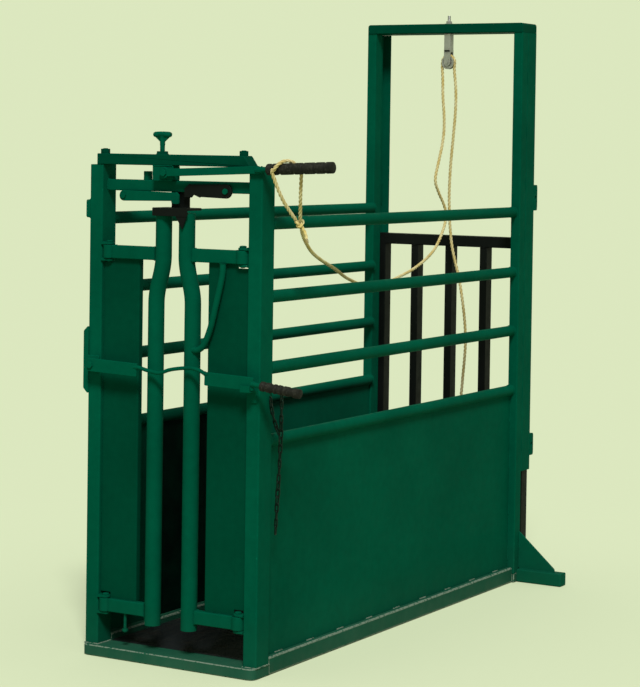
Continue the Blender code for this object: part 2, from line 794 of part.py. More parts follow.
def stop_stud():
    """Stop stud with its nut, under the left door."""
    x = -STUD_OFFSET
    stud_top = (x, HINGE_Y, DOOR_BOTTOM + WELD)
    stud_low = (x, HINGE_Y, DOOR_BOTTOM - STUD_DROP)
    stud = rod("door_stop_stud", stud_low, stud_top, STUD_RADIUS)
    nut_low = (x, HINGE_Y, DOOR_BOTTOM - STUD_DROP + STUD_RADIUS)
    nut_high = (x, HINGE_Y, DOOR_BOTTOM - STUD_DROP + 2 * STUD_RADIUS)
    return weld(stud, rod("stud_nut", nut_low, nut_high, 2 * STUD_RADIUS, GREEN, 6))


def build_top_works():
    """Crossbars, lever bearing, adjusting screw and the stop bolt."""
    low_z = FRONT_HEIGHT + GAP
    high_z = low_z + CROSSBAR_HEIGHT
    screw_y = FRONT + CROSSBAR_DEPTH / 2
    outline = [(CROSSBAR_LEFT_END, low_z), (CROSSBAR_RIGHT_FOOT, low_z)]
    outline += [(CROSSBAR_RIGHT_TOP, high_z), (CROSSBAR_LEFT_END, high_z)]
    bar = outline_plate("top_crossbar", outline, CROSSBAR_DEPTH)
    bar.matrix_world = Matrix.Translation((0, screw_y, 0)) @ bar.matrix_world
    bar.data.materials.clear()
    bar.data.materials.append(GREEN)
    nut_low = (SCREW_OFFSET, screw_y, high_z - WELD)
    nut_high = (SCREW_OFFSET, screw_y, high_z + SCREW_NUT_HEIGHT)
    pieces = [rod("screw_nut", nut_low, nut_high, SCREW_NUT_RADIUS, GREEN, 6)]
    for x, rise in CROSSBAR_BOLTS:
        start = (x, screw_y, high_z - WELD)
        end = (x, screw_y, high_z + rise)
        pieces.append(rod("crossbar_bolt", start, end, CROSSBAR_BOLT_RADIUS, GREEN, 6))
    weld(bar, *pieces)
    bore_low = (SCREW_OFFSET, screw_y, low_z - WELD)
    bore_high = (SCREW_OFFSET, screw_y, nut_high[2] + WELD)
    cut(bar, cutter_rod("screw_bore", bore_low, bore_high, SCREW_RADIUS + PIN_CLEARANCE))
    build_screw(screw_y, low_z)
    build_lower_bar()
    build_lever_bearing(low_z)


def build_screw(screw_y, low_z):
    """Adjusting screw with its T handle."""
    bottom = (SCREW_OFFSET, screw_y, low_z)
    top = (SCREW_OFFSET, screw_y, SCREW_TOP)
    screw = rod("adjusting_screw", bottom, top, SCREW_RADIUS, GREEN)
    half = SCREW_HANDLE_LENGTH / 2
    left = (SCREW_OFFSET - half, screw_y, SCREW_TOP)
    right = (SCREW_OFFSET + half, screw_y, SCREW_TOP)
    foot = SCREW_TOP - SCREW_WEB_DEPTH
    outline = [(-half + WELD, SCREW_TOP), (-SCREW_RADIUS / 2, foot), (SCREW_RADIUS / 2, foot)]
    outline += [(half - WELD, SCREW_TOP)]
    web = outline_plate("screw_web", outline, SCREW_WEB_THICKNESS)
    web.matrix_world = Matrix.Translation((SCREW_OFFSET, screw_y, 0)) @ web.matrix_world
    weld(screw, rod("screw_handle", left, right, SCREW_HANDLE_RADIUS), web)


def build_lower_bar():
    """Lower crossbar with the studs of the lock arms, and its stop bolt."""
    reach = POST_INNER - GAP
    bottom = LOWER_BAR_BOTTOM
    low = (-reach, LOWER_BAR_FRONT, bottom)
    high = (reach, LOWER_BAR_FRONT + LOWER_BAR_DEPTH, LOWER_BAR_TOP)
    bar = box("lower_crossbar", low, high)
    studs = []
    head_back = ARM_Y - ARM_THICKNESS / 2 - PIN_CLEARANCE
    for x, z in arm_pivots():
        shaft_end = (x, LOWER_BAR_FRONT + WELD, z)
        studs.append(rod("arm_stud", (x, head_back - WELD, z), shaft_end, ARM_STUD_RADIUS))
        head_front = (x, head_back - BOLT_HEAD_HEIGHT / 2, z)
        studs.append(rod("arm_head", head_front, (x, head_back, z), ARM_HEAD_RADIUS, GREEN, 6))
    lug_foot = arm_pivots()[0][1] - ARM_HEAD_RADIUS
    lug_low = (-ARM_PIVOT_OFFSET - ARM_HEAD_RADIUS, LOWER_BAR_FRONT, lug_foot)
    lug_high = (-ARM_PIVOT_OFFSET + ARM_HEAD_RADIUS, LOWER_BAR_FRONT + ARM_THICKNESS, bottom + WELD)
    lug = box("arm_lug", lug_low, lug_high)
    start = (STOP_BOLT_OFFSET, LOWER_BAR_FRONT + LOWER_BAR_DEPTH / 2, LOWER_BAR_TOP - WELD)
    end = (start[0], start[1], LOWER_BAR_TOP + STOP_BOLT_HEIGHT)
    stop = rod("stop_bolt", start, end, STOP_BOLT_RADIUS, GREEN, 6)
    weld(bar, lug, stop, *studs)


def arm_pivots():
    """Places of the two arm pivots in X and Z."""
    left = (-ARM_PIVOT_OFFSET, LOWER_BAR_BOTTOM - ARM_PIVOT_DROP)
    right = (HOOK_PIVOT_OFFSET, LOWER_BAR_BOTTOM + HOOK_PIVOT_RISE)
    return left, right


def build_lever_bearing(low_z):
    """Block between the crossbars with the lever's fixed pin."""
    low_x = BEARING_OFFSET - BEARING_WIDTH / 2
    low = (low_x, FRONT, LOWER_BAR_TOP + GAP)
    high = (low_x + BEARING_WIDTH, LOWER_BAR_FRONT + LOWER_BAR_DEPTH / 2, low_z - GAP)
    block = box("lever_bearing", low, high)
    x = LEVER_PIVOT_OFFSET
    z = LEVER_PIVOT_HEIGHT
    lever_front = LEVER_Y - LEVER_THICKNESS / 2
    head_back = lever_front - PIN_CLEARANCE
    pin = rod("lever_pin", (x, head_back - WELD, z), (x, FRONT + WELD, z), LEVER_PIN_RADIUS)
    head_front = (x, head_back - BOLT_HEAD_HEIGHT / 2, z)
    head = rod("lever_pin_head", head_front, (x, head_back, z), BOLT_HEAD_RADIUS, GREEN, 6)
    weld(block, pin, head)


def build_lever():
    """Lever bar with its boss and shank, and the grip."""
    tilt = Vector((math.cos(LEVER_TILT), 0.0, math.sin(LEVER_TILT)))
    pivot = Vector((LEVER_PIVOT_OFFSET, LEVER_Y, LEVER_PIVOT_HEIGHT))
    half = LEVER_BAR_HEIGHT / 2
    outline = arc(0, 0, LEVER_BOSS_RADIUS, 45, 315, 14)
    outline += [(LEVER_REACH, -half), (LEVER_REACH, half)]
    bar = outline_plate("lever_bar", outline, LEVER_THICKNESS)
    bar.matrix_world = Matrix.Translation(pivot) @ Matrix.Rotation(-LEVER_TILT, 4, "Y") @ bar.matrix_world
    bar.data.materials.clear()
    bar.data.materials.append(GREEN)
    shank_start = pivot + tilt * (LEVER_REACH - 0.020)
    shank_end = pivot + tilt * (GRIP_START + GRIP_LENGTH - 0.012)
    shank = rod("lever_shank", shank_start, shank_end, SHANK_RADIUS, GREEN, ROUND_SIDES)
    weld(bar, shank)
    hole_start = (pivot.x, LEVER_Y - LEVER_THICKNESS, pivot.z)
    hole_end = (pivot.x, LEVER_Y + LEVER_THICKNESS, pivot.z)
    cut(bar, cutter_rod("lever_bore", hole_start, hole_end, LEVER_PIN_RADIUS + PIN_CLEARANCE))
    grip = turned("lever_grip", grip_profile(GRIP_RADIUS, GRIP_LENGTH, SHANK_RADIUS), RUBBER)
    grip.location = pivot + tilt * GRIP_START
    grip.rotation_euler = (0.0, math.pi / 2 - LEVER_TILT, 0.0)


def grip_profile(radius, length, shank):
    """Closed outline of a ribbed grip with a blind bore."""
    bore = shank + PIN_CLEARANCE
    groove = radius * 0.86
    rib = 0.012
    points = [(bore, 0.0), (radius * 0.92, 0.0), (radius, 0.004)]
    for start in (rib, 3 * rib, length - 3 * rib):
        points += [(radius, start), (groove, start + 0.002), (groove, start + 0.006)]
        points += [(radius, start + 0.008)]
    points += [(radius, length - 0.005), (radius * 0.86, length)]
    points += [(0.0, length), (0.0, length - 0.011), (bore, length - 0.011)]
    return points


def build_arms():
    """The two lock arms that hang on the lower crossbar."""
    half = ARM_HEIGHT / 2
    outline = arc(0, 0, half, 90, 270, 10)
    outline += [(ARM_LENGTH - 0.030, -half), (ARM_LENGTH - 0.022, -half - 0.006)]
    outline += [(ARM_LENGTH, -half - 0.006), (ARM_LENGTH, half * 0.4), (ARM_LENGTH - 0.012, half)]
    arm = outline_plate("lock_arm_left", outline, ARM_THICKNESS)
    place_arm(arm, *arm_pivots()[0], "arm_bore_left", GREEN)
    half = HOOK_ARM_HEIGHT / 2
    outline = arc(0, 0, half, -90, 90, 10)
    outline += [(-HOOK_ARM_LENGTH + 0.020, half), (-HOOK_ARM_LENGTH, half * 0.3)]
    outline += [(-HOOK_ARM_LENGTH, -half), (-HOOK_ARM_LENGTH + 0.026, -half)]
    outline += [(-HOOK_ARM_LENGTH + 0.034, -half + 0.010), (-HOOK_ARM_LENGTH + 0.060, -half)]
    hook = outline_plate("lock_arm_right", outline, ARM_THICKNESS)
    place_arm(hook, *arm_pivots()[1], "arm_bore_right", BLACK)


def place_arm(arm, x, z, bore_name, mat):
    """Put an arm on its stud and bore it."""
    arm.matrix_world = Matrix.Translation((x, ARM_Y, z)) @ arm.matrix_world
    arm.data.materials.clear()
    arm.data.materials.append(mat)
    start = (x, ARM_Y - ARM_THICKNESS, z)
    end = (x, ARM_Y + ARM_THICKNESS, z)
    cut(arm, cutter_rod(bore_name, start, end, ARM_STUD_RADIUS + PIN_CLEARANCE))


def build_neck_guide():
    """Guide over the tops of the neck bars, hung from the lower crossbar."""
    low_z = NECK_TOP + NECK_GUIDE_CLEARANCE
    high_z = low_z + NECK_GUIDE_THICKNESS
    front = HINGE_Y - NECK_RADIUS - 2 * HINGE_RUNNING_GAP - NECK_GUIDE_THICKNESS / 2
    back = LOWER_BAR_FRONT + LOWER_BAR_DEPTH
    wide = NECK_GUIDE_HALF_WIDTH
    plate = box("neck_guide", (-wide, front, low_z), (wide, back, high_z), BLACK)
    skirt_low = (-wide, front - NECK_GUIDE_THICKNESS / 2, high_z - NECK_GUIDE_SKIRT)
    skirt_high = (wide, front + WELD, high_z)
    skirt = box("guide_skirt", skirt_low, skirt_high, BLACK)
    tongue_top = high_z - NECK_GUIDE_SKIRT + WELD
    tongue_outline = [(0.022, tongue_top), (0.064, tongue_top), (0.048, tongue_top - NECK_GUIDE_TONGUE)]
    tongue = outline_plate("guide_tongue", tongue_outline, NECK_GUIDE_THICKNESS / 2, BLACK)
    tongue.matrix_world = Matrix.Translation((0, front - NECK_GUIDE_THICKNESS / 4, 0)) @ tongue.matrix_world
    web_low = (-wide / 2, LOWER_BAR_FRONT + 0.008, high_z - WELD)
    web_high = (wide / 2, LOWER_BAR_FRONT + 0.016, LOWER_BAR_BOTTOM - GAP)
    web = box("guide_web", web_low, web_high, BLACK)
    weld(plate, skirt, tongue, web)


def bar_point(reach, y=None):
    """A point on the middle line of the front bar, measured from its pivot."""
    x = BAR_PIVOT_X + reach * math.cos(BAR_SLOPE)
    z = BAR_PIVOT_HEIGHT - reach * math.sin(BAR_SLOPE)
    return Vector((x, BAR_Y if y is None else y, z))


def build_front_bar():
    """Bar across the doors: two flats joined by a bent rod, with a grip."""
    half = BAR_HEIGHT / 2
    corner = BAR_NOSE_CHAMFER
    outline = [(corner - BAR_NOSE, half), (-BAR_NOSE, half - corner), (-BAR_NOSE, corner - half)]
    outline += [(corner - BAR_NOSE, -half), (BAR_LEFT_REACH, -half), (BAR_LEFT_REACH, half)]
    bar = outline_plate("front_bar", outline, BAR_THICKNESS)
    place_on_bar(bar)
    bar.data.materials.clear()
    bar.data.materials.append(GREEN)
    outline = [(BAR_RIGHT_START, -half), (BAR_RIGHT_END, -half)]
    outline += [(BAR_RIGHT_END, half), (BAR_RIGHT_START, half)]
    right = outline_plate("bar_right", outline, BAR_THICKNESS)
    place_on_bar(right)
    rise = half - BAR_ROD_RADIUS
    span = BAR_RIGHT_START - BAR_LEFT_REACH
    route = []
    for share, lift in ((-0.05, 0.6), (0.04, 0.6), (0.17, 0.2), (0.33, 0.0), (0.48, 0.9),
                        (0.64, 1.5), (0.79, 1.8), (0.91, 1.6), (1.00, 1.0), (1.05, 1.0)):
        point = bar_point(BAR_LEFT_REACH + span * share)
        point.z += rise * lift
        route.append(point)
    wire = tube_along("bar_rod", smooth_route(route, 0.018), BAR_ROD_RADIUS, GREEN, 2)
    wire = curve_to_mesh(wire)
    droop = BAR_SLOPE + BAR_GRIP_DROOP
    lead = Vector((math.cos(droop), 0.0, -math.sin(droop)))
    root = bar_point(BAR_RIGHT_END - 0.006)
    shank_end = root + lead * (BAR_GRIP_START + BAR_GRIP_LENGTH - 0.012)
    shank = rod("bar_shank", root, shank_end, BAR_SHANK_RADIUS, GREEN, ROUND_SIDES)
    weld(bar, right, wire, shank)
    pivot = bar_point(0.0)
    start = (pivot.x, BAR_Y - BAR_THICKNESS, pivot.z)
    end = (pivot.x, BAR_Y + BAR_THICKNESS, pivot.z)
    cut(bar, cutter_rod("bar_bore", start, end, BAR_BOLT_RADIUS + PIN_CLEARANCE))
    profile = grip_profile(BAR_GRIP_RADIUS, BAR_GRIP_LENGTH, BAR_SHANK_RADIUS)
    grip = turned("front_bar_grip", profile, RUBBER)
    grip.location = root + lead * BAR_GRIP_START
    grip.rotation_euler = (0.0, math.pi / 2 + droop, 0.0)


def place_on_bar(obj):
    """Move a plate drawn about the bar's pivot to its place on the sloping bar."""
    turn = Matrix.Rotation(BAR_SLOPE, 4, "Y")
    obj.matrix_world = Matrix.Translation(bar_point(0.0)) @ turn @ obj.matrix_world


def build_bar_mounts():
    """Bracket with the bar's bolt on the left post, keeper on the right post."""
    face = FRONT - GAP
    front = face - BRACKET_THICKNESS
    left = -HALF - BRACKET_OUTSET
    lap = -HALF + BRACKET_LAP
    right = -POST_INNER - BRACKET_LAP / 2
    centre = BAR_PIVOT_HEIGHT + 0.012
    half = BRACKET_HEIGHT / 2
    tab = BRACKET_TAB_HEIGHT / 2
    chamfer = BRACKET_OUTSET
    outline = [(left + chamfer, centre - half), (lap, centre - half), (lap, BAR_PIVOT_HEIGHT - tab)]
    outline += [(right, BAR_PIVOT_HEIGHT - tab), (right, BAR_PIVOT_HEIGHT + tab)]
    outline += [(lap, BAR_PIVOT_HEIGHT + tab), (lap, centre + half), (left + chamfer, centre + half)]
    outline += [(left, centre + half - chamfer), (left, centre - half + chamfer)]
    plate = outline_plate("front_bar_bracket", outline, BRACKET_THICKNESS)
    shift = Matrix.Translation((0, face - BRACKET_THICKNESS / 2, 0))
    plate.matrix_world = shift @ plate.matrix_world
    plate.data.materials.clear()
    plate.data.materials.append(GREEN)
    x = BAR_PIVOT_X
    z = BAR_PIVOT_HEIGHT
    bar_back = BAR_Y + BAR_THICKNESS / 2
    bar_front = BAR_Y - BAR_THICKNESS / 2
    spacer_end = (x, bar_back + PIN_CLEARANCE, z)
    spacer = rod("bar_spacer", spacer_end, (x, front + WELD, z), BAR_SPACER_RADIUS)
    bolt = rod("bar_bolt", (x, bar_front - 2 * WELD, z), (x, front + WELD, z), BAR_BOLT_RADIUS)
    head_back = bar_front - PIN_CLEARANCE
    head_front = (x, head_back - BOLT_HEAD_HEIGHT / 2, z)
    head = rod("bar_bolt_head", head_front, (x, head_back, z), 2 * BAR_BOLT_RADIUS, GREEN, 6)
    weld(plate, spacer, bolt, head)
    build_keeper(face)


def build_keeper(face):
    """J-shaped keeper under the bar on the right post."""
    x_low = KEEPER_OUTER - KEEPER_WIDTH
    x_high = KEEPER_OUTER
    reach = (x_high - BAR_PIVOT_X) / math.cos(BAR_SLOPE)
    underside = bar_point(reach).z - BAR_HEIGHT / 2 / math.cos(BAR_SLOPE) - GAP
    bottom = underside - KEEPER_THICKNESS
    back_low = (x_low, face - KEEPER_THICKNESS, bottom - KEEPER_WIDTH)
    keeper = box("front_bar_keeper", back_low, (x_high, face, underside))
    lip_back = BAR_Y - BAR_THICKNESS / 2 - 2 * HINGE_RUNNING_GAP
    lip_front = lip_back - KEEPER_THICKNESS
    shelf = box("shelf", (x_low, lip_front, bottom), (x_high, face - WELD, underside))
    lip = box("lip", (x_low, lip_front, bottom), (x_high, lip_back, underside + KEEPER_LIP))
    weld(keeper, shelf, lip)


def build_side_panels():
    """Rails and sheets of both side panels."""
    start = POST_BACK + GAP
    end = REAR_POST_FRONT - GAP
    rails = (
        ("top_rail_", TOP_RAIL_HEIGHT),
        ("upper_rail_", UPPER_RAIL_HEIGHT),
        ("lower_rail_", LOWER_RAIL_HEIGHT),
    )
    for side, word in ((-1, "left"), (1, "right")):
        x = side * RAIL_X
        for name, z in rails:
            pipe(name + word, (x, start, z), (x, end, z), RAIL_RADIUS, RAIL_WALL)
        z = CAP_RAIL_HEIGHT
        cap = pipe("cap_rail", (x, start, z), (x, end, z), RAIL_RADIUS, RAIL_WALL)
        low = (x - SHEET_THICKNESS / 2, start, BASE_SIDE_HEIGHT + GAP)
        high = (x + SHEET_THICKNESS / 2, end, z - RAIL_RADIUS + RAIL_WALL / 2)
        weld(box("side_sheet_" + word, low, high), cap)


def build_rear_frame():
    """Rear posts, gate guides with their lugs, top beam and feet."""
    for side, word in ((-1, "left"), (1, "right")):
        xs = sorted((side * REAR_POST_INNER, side * REAR_HALF))
        low = (xs[0], REAR_POST_FRONT, SILL_HEIGHT + GAP)
        high = (xs[1], GUIDE_FRONT - GAP, BEAM_BOTTOM - GAP)
        hollow_box("rear_post_" + word, low, high, WALL, ((0, 0, -1), (0, 0, 1)))
        low = (xs[0], GUIDE_FRONT, GUIDE_FOOT_HEIGHT)
        high = (xs[1], REAR, BEAM_BOTTOM - GAP)
        sides = ((0, 0, -1), (0, 0, 1), (-side, 0, 0))
        guide = hollow_box("gate_guide_" + word, low, high, GUIDE_WALL, sides)
        apply_modifiers(guide)
        weld(guide, *[rear_lug(side, z, size) for z, size in rear_lugs()])
        for z, size in rear_lugs():
            y = REAR + LUG_REACH / 2
            start = (side * (REAR_HALF + WELD), y, z)
            end = (side * (REAR_HALF - LUG_THICKNESS - WELD), y, z)
            cut(guide, cutter_rod("lug_hole_" + word, start, end, LUG_HOLE_RADIUS, SMALL_SIDES))
        build_foot(side, word)
    low = (-REAR_HALF, REAR_POST_FRONT, BEAM_BOTTOM)
    high = (REAR_HALF, REAR, REAR_HEIGHT)
    beam = box("rear_beam", low, high)
    round_edges(beam, BEAM_CORNER / 4, 1)
    start = (PULLEY_OFFSET, PULLEY_Y, BEAM_BOTTOM - WELD)
    end = (PULLEY_OFFSET, PULLEY_Y, REAR_HEIGHT + WELD)
    cut(beam, cutter_rod("beam_bore", start, end, HANGER_BOLT_RADIUS + PIN_CLEARANCE))


def rear_lugs():
    """Height and size of the panel lugs on each rear guide."""
    return ((UPPER_LUG_HEIGHT, UPPER_LUG_SIZE), (LOWER_LUG_HEIGHT, LOWER_LUG_SIZE))


def rear_lug(side, height, size):
    """One panel lug behind a gate guide."""
    xs = sorted((side * (REAR_HALF - LUG_THICKNESS), side * REAR_HALF))
    low = (xs[0], REAR - WELD, height - size / 2)
    high = (xs[1], REAR + LUG_REACH, height + size / 2)
    return box("rear_lug", low, high, GREEN, 0.002)


def build_foot(side, word):
    """Outrigger foot with its gusset beside a rear post."""
    y = REAR_POST_FRONT + FOOT_SETBACK + FOOT_DEPTH / 2
    start = side * (REAR_HALF + GAP)
    xs = sorted((start, start + side * FOOT_REACH))
    low = (xs[0], y - FOOT_DEPTH / 2, 0)
    high = (xs[1], y + FOOT_DEPTH / 2, FOOT_HEIGHT)
    foot = box("rear_foot_" + word, low, high, GREEN, 0.002)
    apply_modifiers(foot)
    outline = [(start, FOOT_HEIGHT - WELD), (start + side * GUSSET_REACH, FOOT_HEIGHT - WELD)]
    outline += [(start + side * GUSSET_REACH, FOOT_HEIGHT + 0.012), (start, GUSSET_HEIGHT)]
    gusset = outline_plate("gusset", outline, GUSSET_THICKNESS)
    gusset_y = REAR_POST_FRONT + GUSSET_SETBACK
    gusset.matrix_world = Matrix.Translation((0, gusset_y, 0)) @ gusset.matrix_world
    weld(foot, gusset)


def build_gate():
    """Drop gate: stiles in the guides, top and bottom bars, three inner bars."""
    back = GATE_FRONT + GATE_DEPTH
    inner = GATE_HALF - GATE_STILE_WIDTH
    for side, word in ((-1, "left"), (1, "right")):
        xs = sorted((side * inner, side * GATE_HALF))
        low = (xs[0], GATE_FRONT, GATE_BOTTOM)
        hollow_box("gate_stile_" + word, low, (xs[1], back, GATE_TOP), WALL, ((0, 0, -1),), BLACK)
    reach = inner - GAP
    low = (-reach, GATE_FRONT, GATE_TOP - GATE_BAR_WIDTH)
    sideways = ((-1, 0, 0), (1, 0, 0))
    hollow_box("gate_top_bar", low, (reach, back, GATE_TOP), WALL, sideways, BLACK)
    top = GATE_BOTTOM + GATE_BAR_WIDTH
    bottom = box("gate_bottom_bar", (-reach, GATE_FRONT, GATE_BOTTOM), (reach, back, top), BLACK)
    eye_x = GATE_EYE_OFFSET
    eye_half = GATE_EYE_THICKNESS
    eye_low = (eye_x - eye_half, GATE_FRONT - GATE_EYE_REACH, top - GATE_EYE_THICKNESS)
    eye_high = (eye_x + eye_half, GATE_FRONT + WELD, top)
    weld(bottom, box("gate_eye", eye_low, eye_high, BLACK))
    for number, x in enumerate((-GATE_BAR_SPACING, 0.0, GATE_BAR_SPACING), 1):
        low = (x - GATE_INNER_BAR_WIDTH / 2, GATE_FRONT, top + GAP)
        high = (x + GATE_INNER_BAR_WIDTH / 2, back, GATE_TOP - GATE_BAR_WIDTH - GAP)
        ends = ((0, 0, -1), (0, 0, 1))
        hollow_box("gate_bar_" + str(number), low, high, WALL, ends, BLACK)


def build_pulley():
    """Hanger bolted through the beam, and the sheave on its axle."""
    x = PULLEY_OFFSET
    z = PULLEY_HEIGHT
    inner = SHEAVE_WIDTH / 2 + SHEAVE_SIDE_GAP
    outer = inner + CHEEK_THICKNESS
    half = CHEEK_WIDTH / 2
    top = BEAM_BOTTOM - GAP
    block_low = (x - half, PULLEY_Y - outer, BEAM_BOTTOM - GAP - HANGER_BLOCK_HEIGHT)
    hanger = box("pulley_hanger", block_low, (x + half, PULLEY_Y + outer, top), STEEL)
    pieces = []
    for side in (-1, 1):
        ys = sorted((PULLEY_Y + side * inner, PULLEY_Y + side * outer))
        low = (x - half, ys[0], z - half)
        pieces.append(box("cheek", low, (x + half, ys[1], top - WELD), STEEL))
    axle_start = (x, PULLEY_Y - outer - WELD, z)
    pieces.append(rod("axle", axle_start, (x, PULLEY_Y + outer + WELD, z), AXLE_RADIUS, STEEL))
    bolt_top = (x, PULLEY_Y, REAR_HEIGHT + HANGER_BOLT_RISE)
    pieces.append(rod("bolt", (x, PULLEY_Y, top - WELD), bolt_top, HANGER_BOLT_RADIUS, STEEL))
    nut_low = (x, PULLEY_Y, REAR_HEIGHT + GAP)
    nut_high = (x, PULLEY_Y, REAR_HEIGHT + BOLT_HEAD_HEIGHT)
    pieces.append(rod("nut", nut_low, nut_high, 2 * HANGER_BOLT_RADIUS, STEEL, 6))
    weld(hanger, *pieces)
    wide = SHEAVE_WIDTH / 2
    bore = AXLE_RADIUS + PIN_CLEARANCE
    profile = [(bore, -wide), (SHEAVE_RADIUS, -wide), (SHEAVE_RADIUS, -wide + 0.002)]
    profile += [(GROOVE_RADIUS, -0.004), (GROOVE_RADIUS, 0.004)]
    profile += [(SHEAVE_RADIUS, wide - 0.002), (SHEAVE_RADIUS, wide), (bore, wide)]
    sheave = turned("pulley_sheave", profile, STEEL, 24)
    sheave.modifiers["turn"].use_normal_flip = True
    sheave.location = (x, PULLEY_Y, z)
    sheave.rotation_euler = (math.pi / 2, 0.0, 0.0)


def rope_wrap(start, end, count):
    """Points of the rope over the sheave, angles in degrees from +X."""
    points = []
    for x, z in arc(PULLEY_OFFSET, PULLEY_HEIGHT, ROPE_WRAP_RADIUS, start, end, count):
        points.append(Vector((x, PULLEY_Y, z)))
    return points


def build_rope():
    """Rope from the lever grip over the pulley to the gate's bottom bar."""
    knot = Vector((GRIP_START + KNOT_INSET, KNOT_SETBACK, LEVER_PIVOT_HEIGHT - KNOT_DROP))
    run = [
        knot + Vector((0.000, 0.012, -0.014)),
        (0.398, 0.085, 1.382),
        (0.372, 0.150, 1.352),
        (0.330, 0.262, 1.314),
        (0.280, 0.410, 1.280),
        (0.225, 0.590, 1.243),
        (0.172, 0.770, 1.200),
        (0.122, 0.985, 1.163),
        (0.082, 1.190, 1.158),
        (0.055, 1.364, 1.176),
        (0.040, 1.509, 1.200),
        (0.030, 1.648, 1.243),
        (0.025, 1.722, 1.287),
        (0.020, 1.785, 1.354),
        (0.015, 1.803, 1.400),
        (0.010, 1.790, 1.438),
        (0.004, 1.760, 1.481),
        (0.000, 1.740, 1.528),
        (0.000, 1.765, 1.597),
        (0.000, 1.792, 1.660),
        (0.000, 1.806, 1.721),
        (-0.002, 1.808, 1.780),
        (-0.008, 1.808, 1.850),
        (-0.013, PULLEY_Y - 0.002, 1.920),
        (PULLEY_OFFSET - ROPE_WRAP_RADIUS, PULLEY_Y, 1.965),
    ]
    points = smooth_route(run, ROPE_STEP)[:-1] + rope_wrap(180, 0, 12)
    tube_along("rope_run", points, ROPE_RADIUS, ROPE, 2)
    gate_eye = GATE_BOTTOM + GATE_BAR_WIDTH + GAP
    fall = PULLEY_HEIGHT - 2 * GAP - gate_eye
    start = PULLEY_OFFSET + ROPE_WRAP_RADIUS
    sway = ((0.0, start, 0.0), (0.016, 0.036, 0.0), (0.055, 0.044, 0.001), (0.097, 0.045, 0.003),
            (0.149, 0.038, 0.004), (0.219, 0.027, 0.004), (0.291, 0.025, 0.004),
            (0.371, 0.039, 0.004), (0.451, 0.078, 0.004), (0.552, 0.104, 0.004),
            (0.647, 0.094, 0.004), (0.726, 0.080, 0.003), (0.815, 0.072, 0.002),
            (0.904, 0.074, 0.001), (0.979, GATE_EYE_OFFSET, 0.0), (1.0, GATE_EYE_OFFSET, 0.0))
    drop = [(x, PULLEY_Y - out, gate_eye + fall * (1 - down)) for down, x, out in sway]
    tube_along("rope_drop", smooth_route(drop, ROPE_STEP), ROPE_RADIUS, ROPE, 2)
    build_rope_loop(knot)


def build_rope_loop(knot):
    """Bight of the rope over the lever grip, down to the knot."""
    reach = GRIP_RADIUS + ROPE_RADIUS + WELD
    loop = [knot + Vector((-0.008, -0.012, 0.012)), (0.396, -0.032, 1.490)]
    turns = 12
    for i in range(turns + 1):
        t = i / turns
        angle = math.radians(205 - 230 * t)
        x = 0.382 + 0.076 * t
        axis_z = LEVER_PIVOT_HEIGHT + (x - LEVER_PIVOT_OFFSET) * math.tan(LEVER_TILT)
        loop.append((x, LEVER_Y + reach * math.cos(angle), axis_z + reach * math.sin(angle)))
    loop += [(0.446, -0.008, 1.500), knot + Vector((0.008, -0.010, 0.014))]
    points = [Vector(point) for point in loop]
    tube_along("rope_loop", points, ROPE_RADIUS, ROPE, 2)


def build_chain():
    """Safety chain that hangs from its hook beside the right post."""
    x = HALF + CHAIN_HOOK_REACH - CHAIN_RADIUS
    top = CHAIN_HOOK_HEIGHT - CHAIN_HOOK_RADIUS - GAP
    route = [
        (x, CHAIN_HOOK_Y, top),
        (x - 0.001, CHAIN_HOOK_Y, top - 0.120),
        (x - 0.006, CHAIN_HOOK_Y + 0.001, top - 0.240),
        (x - 0.012, CHAIN_HOOK_Y + 0.001, top - 0.340),
        (x - 0.016, CHAIN_HOOK_Y, CHAIN_FOOT),
    ]
    tube_along("safety_chain", smooth_route(route, CHAIN_STEP), CHAIN_RADIUS, STEEL, 2)


build_base()
build_front_posts()
build_hinge_pins()
build_door(-1, "left")
build_door(1, "right")
build_top_works()
build_lever()
build_arms()
build_neck_guide()
build_front_bar()
build_bar_mounts()
build_side_panels()
build_rear_frame()
build_gate()
build_pulley()
build_rope()
build_chain()
bpy.context.view_layer.update()
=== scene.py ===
"""Looks of the calf processing chute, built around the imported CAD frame."""

import json
import math

import bmesh
import bpy
from mathutils import Matrix, Vector, noise


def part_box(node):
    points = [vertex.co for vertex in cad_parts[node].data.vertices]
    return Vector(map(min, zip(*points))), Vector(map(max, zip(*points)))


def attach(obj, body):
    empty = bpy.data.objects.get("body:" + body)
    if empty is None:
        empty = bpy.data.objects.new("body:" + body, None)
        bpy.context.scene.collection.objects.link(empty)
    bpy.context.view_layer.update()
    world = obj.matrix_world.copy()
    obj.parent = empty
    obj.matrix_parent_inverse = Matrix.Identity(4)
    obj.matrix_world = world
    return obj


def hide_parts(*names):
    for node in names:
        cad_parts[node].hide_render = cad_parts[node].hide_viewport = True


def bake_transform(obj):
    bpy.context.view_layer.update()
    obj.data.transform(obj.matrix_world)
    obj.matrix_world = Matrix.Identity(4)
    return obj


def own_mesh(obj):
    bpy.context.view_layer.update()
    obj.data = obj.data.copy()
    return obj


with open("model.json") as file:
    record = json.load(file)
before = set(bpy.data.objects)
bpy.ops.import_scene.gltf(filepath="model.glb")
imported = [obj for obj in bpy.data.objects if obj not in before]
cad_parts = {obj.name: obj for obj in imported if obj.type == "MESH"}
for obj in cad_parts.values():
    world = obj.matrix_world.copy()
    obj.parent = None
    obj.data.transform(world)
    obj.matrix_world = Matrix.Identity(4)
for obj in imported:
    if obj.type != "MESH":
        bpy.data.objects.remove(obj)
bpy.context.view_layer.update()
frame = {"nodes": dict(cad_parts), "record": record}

X, Y, Z = (1, 0, 0), (0, 1, 0), (0, 0, 1)
TO_FRONT = (0, -1, 0)
SIDES = ((-1, "left"), (1, "right"))
